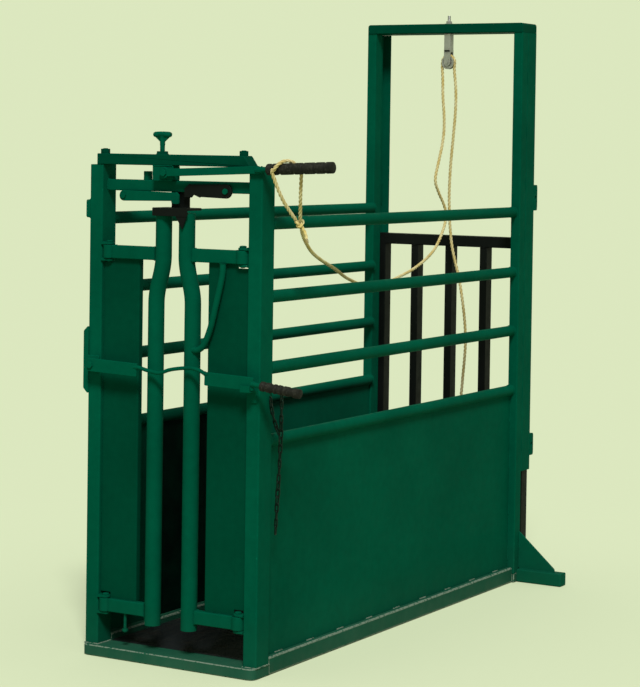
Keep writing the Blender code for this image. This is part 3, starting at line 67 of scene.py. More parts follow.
PLANES = {"xy": (0, 1, 2), "xz": (0, 2, 1), "yz": (2, 0, 1)}
LIT, FLOOR_LIGHT = (0.716, 0.802, 0.522), 1.255

# Main dimensions of the CAD model, in metres.
GAP = 0.0003  # between nodes that are welded together
SILL_TOP, SKID_TOP = 0.035, 0.057
ON_SILL = SILL_TOP + GAP
INNER, HALF = 0.2775, 0.3275  # sides of the front posts
FRONT, BACK, FRONT_TOP = -0.038, 0.038, 1.585  # front posts
TOP_BAR_Y, TOP_BAR_LOW, TOP_BAR_HIGH = -0.013, FRONT_TOP + GAP, 1.6203
CROSS_LOW, CROSS_HIGH = 1.502, 1.538  # lower crossbar
SCREW = (-0.064, TOP_BAR_Y)
HOOK_Y, HOOK_Z = 0.02, 0.893  # hook of the safety chain
HINGE_X, HINGE_Y, LUG_R = 0.2535, -0.028, 0.015
NECK_R, BRACE_R = 0.026, 0.01
DOOR_BARS = (("bottom", 0.146, 0.188), ("top", 1.285, 1.327))
PIVOT, TILT = Vector((-0.032, -0.048, 1.563)), math.radians(2.5)  # lever
LEFT_ARM, RIGHT_ARM = (-0.205, 1.487), (0.183, 1.508)
BAR_PIVOT, BAR_SLOPE = Vector((-0.2895, -0.076, 0.9423)), math.radians(2.0)
BAR_LEFT, BAR_HALF, BAR_ROD_R = 0.1815, 0.021, 0.006
FLAT = 0.008  # thickness of lugs, arms and flat bars
RAIL_X, RAIL_R = 0.3065, 0.02
RAILS = (("top_rail_", 1.411), ("upper_rail_", 1.183), ("lower_rail_", 0.96))
CAP_RAIL_Z = 0.733
REAR_INNER, REAR_HALF = 0.298, 0.336  # sides of the rear posts
REAR_POST, GUIDE, REAR = 1.7917, 1.842, 1.916  # fronts of posts and guides, back of guides
BEAM_LOW, BEAM_TOP = 2.094, 2.13
GUIDE_LOW, GUIDE_TOP = 0.42, BEAM_LOW - GAP
GATE_FRONT, GATE_BACK, GATE_TOP = 1.8597, 1.9097, 1.311
GATE_INNER, GATE_BAR = 0.2797, 0.042
PULLEY = Vector((0.01, 1.8157, 1.982))
ROPE_R, ROPE_LAY, ROPE_GROOVE, WRAP_R = 0.006, 0.045, 0.66, 0.027
KNOT = Vector((0.415, 0.04, 1.415))
CHAIN_PITCH, CHAIN_WIRE, CHAIN_HALF = 0.0225, 0.0025, 0.0062
ROUTE_STEP, BEAD_STEP, BEAD_WAVE = 0.003, 0.0014, 0.0042

LEVER = Matrix.Translation(PIVOT) @ Matrix.Rotation(-TILT, 4, "Y")
LEVER_AXIS = (math.cos(TILT), 0, math.sin(TILT))
FRONT_BAR = Matrix.Translation(BAR_PIVOT) @ Matrix.Rotation(BAR_SLOPE, 4, "Y")

BODY_OF = {node: body for body, nodes in frame["record"]["behaviour"]["bodies"].items()
           for node in nodes}


def put_in_scene(name, data):
    """New object for a camera, a light or a mesh."""
    obj = bpy.data.objects.new(name, data)
    bpy.context.scene.collection.objects.link(obj)
    return obj


def mesh_from(bm, name):
    """Mesh with a bmesh's faces; the bmesh is freed."""
    mesh = bpy.data.meshes.new(name)
    bm.to_mesh(mesh)
    bm.free()
    return mesh


# ---- camera

def add_camera():
    """Camera at the photograph's place, from the fit of the frame's corners."""
    azimuth, pitch, roll = (math.radians(a) for a in (30.4953, -1.5662, 0.8253))
    level = Vector((math.cos(azimuth), math.sin(azimuth), 0.0))
    flat = Vector((-math.sin(azimuth), math.cos(azimuth), 0.0))
    ahead = flat * math.cos(pitch) + Vector(Z) * math.sin(pitch)
    upright = level.cross(ahead)
    right = level * math.cos(roll) + upright * math.sin(roll)
    up = upright * math.cos(roll) - level * math.sin(roll)
    data = bpy.data.cameras.new("photo_camera")
    data.sensor_fit = "HORIZONTAL"
    data.sensor_width = 36.0
    data.lens = 123.2
    data.shift_x = 0.494 / 640
    data.shift_y = -140.77 / 640
    data.clip_start = 0.1
    data.clip_end = 100.0
    camera = put_in_scene("photo_camera", data)
    turn = Matrix((right, up, -ahead)).transposed().to_4x4()
    camera.matrix_world = Matrix.Translation((3.893, -5.746, 1.664)) @ turn
    bpy.context.scene.camera = camera


add_camera()


# ---- materials

def add_node(tree, kind, inputs=None, **settings):
    """Shader node; each input is a number, a colour or another node's socket."""
    node = tree.nodes.new("ShaderNode" + kind)
    for name, value in settings.items():
        setattr(node, name, value)
    for key, value in (inputs or {}).items():
        socket = node.inputs[key]
        if isinstance(value, bpy.types.NodeSocket):
            tree.links.new(value, socket)
        else:
            socket.default_value = (*value, 1.0) if socket.type == "RGBA" else value
    return node


class Finish:
    """Builds one node material in object coordinates, which are metres here."""

    def __init__(self, name, slot):
        self.mat = bpy.data.materials.new(name)
        self.mat.use_nodes = True
        self.slot = slot
        self.tree = self.mat.node_tree
        self.tree.nodes.clear()
        self.place = add_node(self.tree, "TexCoord").outputs["Object"]

    def get(self, kind, output, inputs=None, **settings):
        return add_node(self.tree, kind, inputs, **settings).outputs[output]

    def noise(self, scale, detail=3.0, rough=0.55, stretch=None):
        where = self.place
        if stretch:
            where = self.get("Mapping", "Vector", {"Vector": where, "Scale": stretch})
        return self.get("TexNoise", "Fac", {"Vector": where, "Scale": scale, "Detail": detail,
                                            "Roughness": rough})

    def span(self, value, low, high, out_low=0.0, out_high=1.0):
        return self.get("MapRange", "Result", {"Value": value, "From Min": low, "From Max": high,
                                               "To Min": out_low, "To Max": out_high})

    def times(self, first, second):
        return self.get("Math", "Value", {0: first, 1: second}, operation="MULTIPLY")

    def plus(self, first, second):
        return self.get("Math", "Value", {0: first, 1: second}, operation="ADD")

    def mix(self, share, first, second):
        """Mix of two colours: sockets 6 and 7 in and 2 out are the colour ones."""
        return self.get("Mix", 2, {"Factor": share, 6: first, 7: second}, data_type="RGBA")

    def patches(self, colour, shade, low, high, most, *noise_settings):
        """Lay a shade over a colour where a noise is high."""
        return self.mix(self.span(self.noise(*noise_settings), low, high, 0.0, most), colour, shade)

    def worn(self):
        return self.get("Attribute", "Fac", attribute_name="worn")

    def bump(self, height, distance, strength=1.0, below=None):
        inputs = {"Strength": strength, "Distance": distance, "Height": height}
        if below is not None:
            inputs["Normal"] = below
        return self.get("Bump", "Normal", inputs)

    def done(self, colour, rough, normal, metallic=0.0, specular=0.5):
        """The material and the slot of the record that it belongs to."""
        shader = self.get("BsdfPrincipled", "BSDF", {
            "Base Color": colour, "Roughness": rough, "Normal": normal, "Metallic": metallic,
            "Specular IOR Level": specular})
        add_node(self.tree, "OutputMaterial", {"Surface": shader})
        return self.mat, self.slot


def paint(name, slot, deep, bright, chip, dust, dust_top, dust_most, streak_most=0.05,
          specular=0.004, wear=0.64):
    """Sprayed paint: colour drift, orange peel, scuffs, rubbed edges, dust near the ground, and
    near-black painted shade where the wear layer is below zero.
    """
    f = Finish(name, slot)
    colour = f.mix(f.span(f.noise(2.1, 2.0), 0.35, 0.65), deep, bright)
    spots = f.span(f.noise(38.0, 4.0), 0.3, 0.7, 0.93, 1.06)
    colour = f.get("VectorMath", 0, {0: colour, "Scale": spots}, operation="SCALE")
    colour = f.patches(colour, dust, 0.6, 0.82, streak_most, 1.0, 4.0, 0.6, (55.0, 55.0, 3.2))
    colour = f.patches(colour, chip, 0.7, 0.75, 0.35, 1.0, 5.0, 0.7, (160.0, 160.0, 420.0))
    height = f.get("SeparateXYZ", "Z", {0: f.place})
    settle = f.times(f.span(height, dust_top, 0.0),
                     f.span(f.noise(14.0, 5.0, 0.65), 0.34, 0.68, 0.1, dust_most))
    colour = f.mix(settle, colour, dust)
    rub = f.times(f.span(f.noise(95.0, 4.0, 0.7), wear, wear + 0.06), f.span(f.worn(), 0.0, 1.0))
    colour = f.mix(rub, colour, chip)
    bare = f.times(f.span(f.noise(210.0, 3.0, 0.7), 0.66, 0.7), rub)
    colour = f.mix(bare, colour, (0.1, 0.085, 0.065))
    # Painted shade: near-black where the wear layer is below zero, on the inner faces of the side
    # sheets toward the chute's front.
    painted_shade = f.times(f.span(f.worn(), 0.0, -1.0),
                   f.span(f.noise(8.0, 5.0, 0.6), 0.3, 0.6, 0.82, 0.97))
    colour = f.mix(painted_shade, colour, (0.0012, 0.0038, 0.0024))
    rough = f.plus(f.span(f.noise(24.0, 3.0), 0.3, 0.7, 0.42, 0.58), f.times(settle, 0.35))
    peel = f.bump(f.noise(520.0, 2.0), 0.00022, 0.6)
    swell = f.bump(f.noise(9.0, 1.0), 0.0035, 0.35, peel)
    return f.done(colour, rough, swell, 0.0, specular)


def rubber():
    """Moulded rubber: fine grain, dusty high spots."""
    f = Finish("rubber_finish", "rubber")
    colour = f.mix(f.noise(60.0, 4.0), (0.0045, 0.0048, 0.0036), (0.011, 0.0112, 0.008))
    colour = f.patches(colour, (0.034, 0.034, 0.024), 0.58, 0.75, 0.35, 260.0, 3.0, 0.7)
    rubbed = f.times(f.worn(), f.span(f.noise(130.0, 3.0), 0.45, 0.62, 0.0, 0.5))
    colour = f.mix(rubbed, colour, (0.064, 0.064, 0.046))
    grain = f.bump(f.noise(900.0, 2.0), 0.0003, 0.5)
    rough = f.span(f.noise(70.0, 3.0), 0.3, 0.7, 0.55, 0.78)
    return f.done(colour, rough, grain, 0.0, 0.12)


def steel(name, dark, light, rust, rust_from, rough_low, rough_high):
    """Bare or zinc-plated steel with light stains."""
    f = Finish(name, "bare_steel")
    colour = f.mix(f.noise(48.0, 5.0, 0.6), dark, light)
    stain = f.span(f.noise(75.0, 5.0, 0.7), rust_from, rust_from + 0.12, 0.0, 0.8)
    colour = f.mix(stain, colour, rust)
    brushed = f.noise(1.0, 4.0, 0.6, (900.0, 900.0, 60.0))
    rough = f.span(brushed, 0.3, 0.7, rough_low, rough_high)
    metal = f.span(stain, 0.0, 1.0, 0.92, 0.15)
    return f.done(colour, rough, f.bump(brushed, 0.0001, 0.5), metal, 0.5)


def laid_rope():
    """Polypropylene rope: filament bump, pale flecks, colour darker down between the strands than
    on their crowns.
    """
    f = Finish("rope_finish", "rope")
    colour = f.mix(f.span(f.noise(26.0, 3.0), 0.35, 0.65), (0.52, 0.4, 0.115), (0.66, 0.59, 0.3))
    # Darker down between the strands than on their crowns.
    colour = f.mix(f.span(f.worn(), 0.0, 1.0, 0.75, 0.0), colour, (0.2, 0.145, 0.045))
    colour = f.patches(colour, (0.8, 0.75, 0.52), 0.55, 0.72, 0.45, 420.0, 3.0, 0.7)
    colour = f.patches(colour, (0.24, 0.2, 0.12), 0.58, 0.72, 0.4, 11.0, 4.0)
    fibres = f.bump(f.noise(2600.0, 2.0), 0.0005, 0.7)
    rough = f.span(f.noise(300.0, 2.0), 0.3, 0.7, 0.62, 0.85)
    return f.done(colour, rough, fibres, 0.0, 0.25)


def trodden_plate():
    """Floor plate: near-black base colour that is painted shade for the chute's inside, lighter
    streaks of bare steel, dried mud.
    """
    f = Finish("floor_steel_finish", "floor_steel")
    # Painted shade: the plate's own colour is kept near-black, as the inside of the chute in shade.
    colour = f.mix(f.noise(7.0, 5.0, 0.6), (0.006, 0.008, 0.009), (0.0135, 0.016, 0.016))
    colour = f.patches(colour, (0.05, 0.052, 0.045), 0.5, 0.72, 0.4,
                       1.0, 5.0, 0.65, (40.0, 5.0, 40.0))
    clods = f.noise(19.0, 6.0, 0.7)
    mud = f.span(clods, 0.55, 0.66, 0.0, 0.85)
    colour = f.mix(mud, colour, (0.014, 0.013, 0.01))
    rough = f.span(mud, 0.0, 0.85, 0.46, 0.9)
    lumps = f.bump(clods, 0.004, 0.6)
    scratch = f.bump(f.noise(1.0, 4.0, 0.6, (700.0, 60.0, 700.0)), 0.0002, 0.5, lumps)
    return f.done(colour, rough, scratch, f.span(mud, 0.0, 0.85, 0.12, 0.0), 0.08)


GREEN = paint("green_paint_finish", "green_paint", (0.0001, 0.0525, 0.027),
              (0.0002, 0.0655, 0.0336), (0.002, 0.105, 0.056), (0.022, 0.075, 0.043), 0.2, 0.18)
# A darker copy of the green paint: painted shade on the recessed door panels, the top crossbar and
# the rear beam.
SHADED_GREEN = paint("shaded_green_paint_finish", "green_paint", (0.0001, 0.0345, 0.0172),
                   (0.0002, 0.0425, 0.0214), (0.002, 0.08, 0.042), (0.022, 0.055, 0.032),
                   0.2, 0.18)
BASE_GREEN = paint("base_paint_finish", "base_paint", (0.0015, 0.05, 0.026),
                   (0.006, 0.068, 0.037), (0.12, 0.165, 0.12), (0.07, 0.105, 0.072),
                   0.1, 0.26, 0.08, 0.02, 0.42)
# Black paint: the rear gate's own colour; on the neck guide and the right lock arm it is painted
# shade.
BLACK_AND_SHADE = paint("black_paint_and_shade_finish", "black_paint", (0.0022, 0.0034, 0.0027),
              (0.0048, 0.0062, 0.0052), (0.022, 0.024, 0.022), (0.03, 0.034, 0.026),
              0.35, 0.22, 0.04, 0.05)
RUBBER = rubber()
STEEL = steel("bare_steel_finish", (0.2, 0.2, 0.195), (0.42, 0.42, 0.41),
              (0.13, 0.075, 0.038), 0.56, 0.34, 0.55)
CHAIN_STEEL = steel("chain_steel_finish", (0.0025, 0.01, 0.0065), (0.006, 0.019, 0.0125),
                    (0.012, 0.011, 0.007), 0.58, 0.5, 0.7)
ROPE = laid_rope()
PLATE = trodden_plate()


# ---- mesh tools

def length_of(points):
    return sum((b - a).length for a, b in zip(points, points[1:]))


def resample(fine_line, step):
    """Points at equal distances along a fine line of points."""
    total = length_of(fine_line)
    count = max(2, round(total / step))
    result = [fine_line[0]]
    walked = 0.0
    target = total / count
    for a, b in zip(fine_line, fine_line[1:]):
        piece = (b - a).length
        while walked + piece >= target and len(result) < count:
            result.append(a.lerp(b, (target - walked) / piece))
            target += total / count
        walked += piece
    result.append(fine_line[-1])
    return result


def smooth_route(route, step=ROUTE_STEP, cuts=48):
    """Evenly spaced points on a Catmull-Rom curve through the route's own points."""
    knots = [Vector(point) for point in route]
    points = []
    for i, (p1, p2) in enumerate(zip(knots, knots[1:])):
        p0, p3 = knots[max(i - 1, 0)], knots[min(i + 2, len(knots) - 1)]
        for j in range(cuts):
            t = j / cuts
            points.append((2 * p1 + (p2 - p0) * t + (2 * p0 - 5 * p1 + 4 * p2 - p3) * t * t
                           + (3 * p1 - p0 - 3 * p2 + p3) * t ** 3) / 2)
    return resample(points + [knots[-1]], step)


def arc(cx, cy, radius, start, end, count):
    """Points of an arc in a plane, angles in degrees."""
    angles = [math.radians(start + (end - start) * i / count) for i in range(count + 1)]
    return [(cx + radius * math.cos(a), cy + radius * math.sin(a)) for a in angles]


def block(u0, u1, v0, v1):
    """Corners of a rectangle in a plane."""
    return [(u0, v0), (u1, v0), (u1, v1), (u0, v1)]


def pair(side, inner, outer):
    """Two distances from the middle, as the lower and higher X on one side."""
    return sorted((side * inner, side * outer))


def soften(outline, radius, steps=3, skip=()):
    """The outline with its corners rounded; corners whose number is in skip stay sharp."""
    result = []
    for i, place in enumerate(outline):
        corner = Vector(place)
        if i in skip:
            result.append(tuple(corner))
            continue
        before = Vector(outline[i - 1]) - corner
        after = Vector(outline[(i + 1) % len(outline)]) - corner
        reach = min(radius, before.length * 0.45, after.length * 0.45)
        a = corner + before.normalized() * reach
        b = corner + after.normalized() * reach
        for j in range(steps + 1):
            t = j / steps
            result.append(tuple(a * (1 - t) ** 2 + corner * 2 * t * (1 - t) + b * t * t))
    return result


def aim(axis):
    """Turn that takes +Z to an axis."""
    return Vector(axis).to_track_quat("Z", "Y").to_matrix().to_4x4()


def at(place, u, y=0.0, w=0.0):
    """Point along and across a bar whose pivot and slope are in a matrix."""
    return place @ Vector((u, y, w))


def new_part():
    """Small bmesh, with the face layer that says where paint wears away, and, below zero, where
    shade is painted.
    """
    part = bmesh.new()
    return part, part.faces.layers.float.new("worn")


def bevel(part, worn, edges, offset, segments=1):
    """Round edges off, and mark the new faces in the wear layer."""
    made = bmesh.ops.bevel(part, geom=edges, offset=offset, segments=segments, profile=0.5,
                           affect="EDGES")
    for face in made["faces"]:
        face[worn] = 1.0


def join(part, one, two):
    """Faces between two rings of vertices; a ring of one vertex is a tip."""
    faces = []
    count = max(len(one), len(two))
    for k in range(count):
        m = (k + 1) % count
        corners = (one[k % len(one)], one[m % len(one)], two[m % len(two)], two[k % len(two)])
        corners = [v for i, v in enumerate(corners) if v not in corners[:i]]
        if len(corners) > 2:
            faces.append(part.faces.new(corners))
    return faces


class Form:
    """Collects the shapes of one piece."""

    def __init__(self):
        self.bm, _ = new_part()

    def add(self, part, move=None):
        """Take in the faces of a small bmesh, moved by a matrix."""
        bmesh.ops.recalc_face_normals(part, faces=part.faces)
        if move is not None:
            part.transform(move)
        mesh = mesh_from(part, "part")
        self.bm.from_mesh(mesh)
        bpy.data.meshes.remove(mesh)

    def box(self, low, high, radius=0.002, segments=2, along=None, ends=0.0008):
        """Block with all edges rounded, or the four along one axis and a little at its ends."""
        part, worn = new_part()
        low, high = Vector(low), Vector(high)
        middle, size = (low + high) / 2, high - low
        bmesh.ops.create_cube(part, size=1.0)
        for vert in part.verts:
            vert.co = middle + Vector(a * b for a, b in zip(vert.co, size))
        edges = [e for e in part.edges
                 if along is None or abs(e.verts[0].co[along] - e.verts[1].co[along]) > 1e-6]
        bevel(part, worn, edges, radius, segments)
        if along is not None:
            caps = [f for f in part.faces if abs(f.normal[along]) > 0.99]
            bevel(part, worn, list({e for f in caps for e in f.edges}), ends)
        self.add(part)

    def plate(self, outline, plane, middle, thickness, edge=0.0007, move=None):
        """Plate cut to an outline in a plane; middle is its place on the third axis."""
        part, worn = new_part()
        rings = [[part.verts.new([(u, v, w)[i] for i in PLANES[plane]]) for u, v in outline]
                 for w in (middle - thickness / 2, middle + thickness / 2)]
        faces = [part.faces.new(ring) for ring in rings]
        join(part, *rings)
        bmesh.ops.recalc_face_normals(part, faces=part.faces)
        bevel(part, worn, list({e for f in faces for e in f.edges}), edge)
        self.add(part, move)

    def tube(self, points, radius, sides=24, closed=False, cap=0.0006, mark=None):
        """Bar along points. radius is a number, or a function of distance and angle, and
        mark gives the wear of a shaped bar at a radius."""
        part, worn = new_part()
        points = [Vector(p) for p in points]
        count = len(points)
        shaped = callable(radius)
        tangents = []
        for i in range(count):
            if closed:
                step = points[(i + 1) % count] - points[i - 1]
            else:
                step = points[min(i + 1, count - 1)] - points[max(i - 1, 0)]
            tangents.append(step.normalized())
        side = tangents[0].orthogonal().normalized()
        across = [side]
        for before, tangent in zip(tangents, tangents[1:]):
            side = before.rotation_difference(tangent) @ side
            side = (side - tangent * side.dot(tangent)).normalized()
            across.append(side)
        drift = 0.0
        if closed:
            last = tangents[-1].rotation_difference(tangents[0]) @ side
            drift = -math.atan2(last.dot(tangents[0].cross(across[0])), last.dot(across[0]))
        rings, wear = [], {}
        walked = 0.0
        for i, (point, tangent, side) in enumerate(zip(points, tangents, across)):
            if i:
                walked += (point - points[i - 1]).length
            other = tangent.cross(side)
            ring = []
            for k in range(sides):
                a = math.tau * k / sides
                r = radius(walked, a) if shaped else radius
                a += drift * i / count
                vert = part.verts.new(point + side * (r * math.cos(a)) + other * (r * math.sin(a)))
                wear[vert] = mark(r) if mark else float(shaped)
                ring.append(vert)
            rings.append(ring)
        for one, two in zip(rings, rings[1:] + rings[:1] if closed else rings[1:]):
            for face in join(part, one, two):
                face[worn] = sum(wear[v] for v in face.verts) / 4
        if not closed:
            for ring in (rings[0], rings[-1]):
                face = part.faces.new(ring)
                if cap:
                    made = bmesh.ops.inset_region(part, faces=[face], thickness=cap)
                    for new in made["faces"]:
                        new[worn] = 1.0
        self.add(part)

    def turn(self, profile, origin, axis=Z, sides=40, edges=()):
        """Shape turned about an axis. profile lists radius and distance along it."""
        part, worn = new_part()
        rings = [[part.verts.new((x, y, along))
                  for x, y in arc(0, 0, radius, 0, 360, sides)[:sides if radius else 1]]
                 for radius, along in profile]
        for number, (one, two) in enumerate(zip(rings, rings[1:])):
            for face in join(part, one, two):
                face[worn] = float(number in edges)
        self.add(part, Matrix.Translation(Vector(origin)) @ aim(axis))

    def rod(self, place, axis, radius, length, sides=24):
        """Plain short rod with sharp ends."""
        self.turn([(0, 0), (radius, 0), (radius, length), (0, length)], place, axis, sides)

    def shim(self, bore, rim, place, sides):
        """Thin washer in the XZ plane."""
        self.turn([(bore, 0), (rim, 0), (rim + 0.0005, 0.0004), (rim, 0.0008), (bore, 0.0008)],
                  place, Y, sides)

    def bolt(self, place, axis, across, height, spin=0.0, washer=0.0):
        """Hex head or nut with chamfered corners, with a washer if wanted."""
        place, base, sides = Vector(place), 0.0, 36
        if washer:
            base = 0.0016
            self.turn([(0, 0), (washer - 0.0003, 0), (washer, 0.0003), (washer, 0.0012),
                       (washer - 0.0004, base), (0, base)], place, axis, 32, (3,))
        part, worn = new_part()
        rings = []
        for share, z in ((0.97, base), (1.0, base + 0.0004), (1.0, height - 0.0013),
                         (0.87, height)):
            ring = []
            for k in range(sides):
                a = math.tau * k / sides
                inside = (a + math.pi / 6) % (math.pi / 3) - math.pi / 6
                flat = across * math.cos(math.pi / 6) / math.cos(inside)
                r = min(flat, across * share)
                ring.append(part.verts.new((r * math.cos(a + spin), r * math.sin(a + spin), z)))
            rings.append(ring)
        for one, two in zip(rings, rings[1:]):
            join(part, one, two)
        part.faces.new(rings[0])
        part.faces.new(rings[-1])[worn] = 0.6
        self.add(part, Matrix.Translation(place) @ aim(axis))

    def thread(self, start, radius, length, pitch=0.0016):
        """Upright threaded rod: a helical ridge."""
        count = max(4, round(length / (pitch / 4)))
        points = [Vector(start) + Vector(Z) * (length * i / count) for i in range(count + 1)]

        def size(s, a):
            turn = (s / pitch - a / math.tau) % 1.0
            rise = 1 - abs(2 * turn - 1)
            return radius * (0.9 + 0.1 * min(rise, 1.0, (length - s) / 0.0015))

        self.tube(points, size, 16)

    def bead(self, points, radius=0.0024, seed=0.0, closed=False):
        """Weld bead: overlapping scallops of metal along a seam."""
        line = [Vector(p) for p in points]
        if closed:
            line = resample(line + line[:1], BEAD_STEP)[:-1]
        else:
            line = resample(line, BEAD_STEP)

        def size(s, a):
            wave = abs(math.sin(math.pi * s / BEAD_WAVE))
            rough = noise.noise(Vector((s * 160.0 + seed, seed, a)))
            return radius * (0.8 + 0.22 * wave + 0.16 * rough)

        self.tube(line, size, 7, closed, cap=0.0)

    def seam(self, start, axis, end, radius=0.0024, seed=0.0):
        """Straight bead along one axis, as far as an end on it."""
        stop = list(start)
        stop["xyz".index(axis)] = end
        self.bead([start, stop], radius, seed)

    def ring_bead(self, centre, axis, radius, size=0.0024):
        """Weld bead round a bar's end."""
        turn = Matrix.Translation(Vector(centre)) @ aim(axis)
        ring = [turn @ Vector((x, y, 0.0)) for x, y in arc(0, 0, radius, 0, 360, 32)]
        self.bead(ring[:-1], size, sum(centre) * 10, True)

    def make(self, name, finish, body, nodes=(), sharp=38):
        """Turn the collected shapes into a piece that rides on a body."""
        mat, slot = finish
        mesh = mesh_from(self.bm, name)
        mesh.materials.append(mat)
        mesh.polygons.foreach_set("use_smooth", [True] * len(mesh.polygons))
        mesh.set_sharp_from_angle(angle=math.radians(sharp))
        obj = put_in_scene(name, mesh)
        even = obj.modifiers.new("even", "WEIGHTED_NORMAL")
        even.keep_sharp = True
        if body:
            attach(obj, body)
        if nodes:
            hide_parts(*nodes)
        return obj


def fine(node, form, finish):
    """Piece that stands for one CAD node."""
    return form.make("fine_" + node, finish, BODY_OF[node], [node])


# ---- rope and chain

def strand(s, a, radius=ROPE_R):
    """Outline of a rope laid from three strands."""
    turn = (a - math.tau * s / ROPE_LAY) % (math.tau / 3) - math.tau / 6
    part = radius / 2.1547
    reach = radius - part
    inside = max(part * part - (reach * math.sin(turn)) ** 2, 0.0)
    return max(reach * math.cos(turn) + math.sqrt(inside), ROPE_GROOVE * radius)


def knot_strand(s, a):
    """The same rope, pulled tight."""
    return strand(s, a, 0.0052)


def add_rope(points, node, body):
    """One stretch of laid rope that stands for its CAD cord."""
    form = Form()
    form.tube(points, strand, 18, cap=0.0,
              mark=lambda r: (r / ROPE_R - ROPE_GROOVE) / (1 - ROPE_GROOVE))
    obj = form.make("laid_" + node, ROPE, body, [node], 60)
    obj.modifiers.clear()
    return obj


def add_knot(name, centre, turn, body, tails=()):
    """Tight overhand knot, with its cut ends."""
    form = Form()
    size, count = 0.004, 140
    loop = []
    for i in range(count):
        t = math.tau * i / count
        loop.append(centre + turn @ (Vector((
            math.sin(t) + 2 * math.sin(2 * t),
            math.cos(t) - 2 * math.cos(2 * t),
            -1.15 * math.sin(3 * t),
        )) * size))
    form.tube(loop, knot_strand, 18, closed=True)
    for tail in tails:
        line = smooth_route([centre] + [centre + Vector(p) for p in tail])
        form.tube(line, knot_strand, 18)
        end = line[-1]
        lead = (end - line[-4]).normalized()
        side = lead.orthogonal().normalized()
        for k in range(14):
            a = math.tau * k / 14 + 0.3 * math.sin(k * 5.1)
            out = side * math.cos(a) + lead.cross(side) * math.sin(a)
            root = end - lead * 0.002 + out * ROPE_R * (0.35 + 0.4 * abs(math.sin(k * 2.7)))
            tip = (root + lead * (0.009 + 0.005 * abs(math.sin(k * 1.9)))
                   + out * 0.004 * abs(math.sin(k * 3.3)) - Vector((0, 0, 0.002)))
            form.tube([root, root.lerp(tip, 0.5) + out * 0.0008, tip], 0.0005, 6)
    return form.make(name, ROPE, body, sharp=60)


def add_rope_run():
    """Rope from the knot under the lever grip to the pulley, and over the sheave."""
    run = [
        KNOT + Vector((0.000, 0.012, -0.014)),
        (0.398, 0.085, 1.382), (0.372, 0.15, 1.352), (0.33, 0.262, 1.314),
        (0.28, 0.41, 1.28), (0.225, 0.59, 1.243), (0.172, 0.77, 1.2),
        (0.122, 0.985, 1.163), (0.082, 1.19, 1.158), (0.055, 1.364, 1.176),
        (0.04, 1.509, 1.2), (0.03, 1.648, 1.243), (0.025, 1.722, 1.287),
        (0.02, 1.785, 1.354), (0.015, 1.803, 1.4), (0.01, 1.79, 1.438),
        (0.004, 1.76, 1.481), (0.000, 1.74, 1.528), (0.000, 1.765, 1.597),
        (0.000, 1.792, 1.66), (0.000, 1.806, 1.721), (-0.002, 1.808, 1.78),
        (-0.008, 1.808, 1.85), (-0.013, PULLEY.y - 0.002, 1.92),
        (PULLEY.x - WRAP_R, PULLEY.y, 1.965),
    ]
    wrap = [Vector((x, PULLEY.y, z)) for x, z in arc(PULLEY.x, PULLEY.z, WRAP_R, 180, 0, 28)]
    points = resample(smooth_route(run)[:-1] + wrap, ROUTE_STEP)
    points.reverse()
    turn = Matrix.Rotation(0.7, 3, "Z") @ Matrix.Rotation(1.1, 3, "X")
    tail = ((0.01, 0.004, -0.016), (0.019, 0.006, -0.034), (0.022, 0.006, -0.048))
    knot = add_knot("grip_knot", KNOT, turn, "lever", (tail,))
    rope = add_rope(points, "rope_run", None)
    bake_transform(rope)


def add_rope_drop():
    """Rope from the sheave down to the gate's eye, with the sway that the photo shows."""
    eye_x, eye_z = 0.075, 0.0776
    fall = PULLEY.z - 0.0006 - eye_z
    sway = (
        (0.0, PULLEY.x + WRAP_R, 0.0), (0.016, 0.036, 0.0), (0.055, 0.044, 0.001),
        (0.097, 0.045, 0.003), (0.149, 0.038, 0.004), (0.219, 0.027, 0.004),
        (0.291, 0.025, 0.004), (0.371, 0.039, 0.004), (0.451, 0.078, 0.004),
        (0.552, 0.104, 0.004), (0.647, 0.094, 0.004), (0.726, 0.08, 0.003),
        (0.815, 0.072, 0.002), (0.904, 0.074, 0.001), (0.979, eye_x, 0.0), (1.0, eye_x, 0.0),
    )
    points = smooth_route([(x, PULLEY.y - out, eye_z + fall * (1 - down))
                           for down, x, out in sway])
    turn = Matrix.Rotation(0.3, 3, "Z") @ Matrix.Rotation(1.4, 3, "X")
    eye_knot = add_knot("gate_knot", Vector((eye_x, PULLEY.y, 0.094)), turn, "rear_gate")
    rope = add_rope(points, "rope_drop", "frame")
    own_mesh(rope)


def add_rope_loop():
    """Bight of the rope over the lever grip."""
    reach = 0.018 + ROPE_R + 0.001
    loop = [KNOT + Vector((-0.008, -0.012, 0.012)), (0.396, -0.032, 1.49)]
    for i in range(13):
        t = i / 12
        angle = math.radians(205 - 230 * t)
        x = 0.382 + 0.076 * t
        axis_z = PIVOT.z + (x - PIVOT.x) * math.tan(TILT)
        loop.append((x, PIVOT.y + reach * math.cos(angle), axis_z + reach * math.sin(angle)))
    loop += [(0.446, -0.008, 1.5), KNOT + Vector((0.008, -0.01, 0.014))]
    add_rope(smooth_route(loop), "rope_loop", "lever")


def chain_links(form, line):
    """Chain of oval links along a line, each turned a quarter from the last."""
    line = resample(line, CHAIN_PITCH)
    bend = CHAIN_HALF - CHAIN_WIRE / 2
    half = CHAIN_PITCH / 2 + CHAIN_WIRE * 0.9 - CHAIN_HALF / 2 - CHAIN_WIRE / 2
    oval = [(x + half, y) for x, y in arc(0, 0, bend, -90, 90, 8)]
    oval += [(x - half, y) for x, y in arc(0, 0, bend, 90, 270, 8)]
    for i, (a, b) in enumerate(zip(line, line[1:])):
        lead = (b - a).normalized()
        side = Vector(X if i % 2 else Y)
        side = (side - lead * side.dot(lead)).normalized()
        wobble = 0.35 * math.sin(i * 2.3)
        side = (side * math.cos(wobble) + lead.cross(side) * math.sin(wobble)).normalized()
        form.tube([(a + b) / 2 + lead * u + side * v for u, v in oval], CHAIN_WIRE, 10,
                  closed=True)


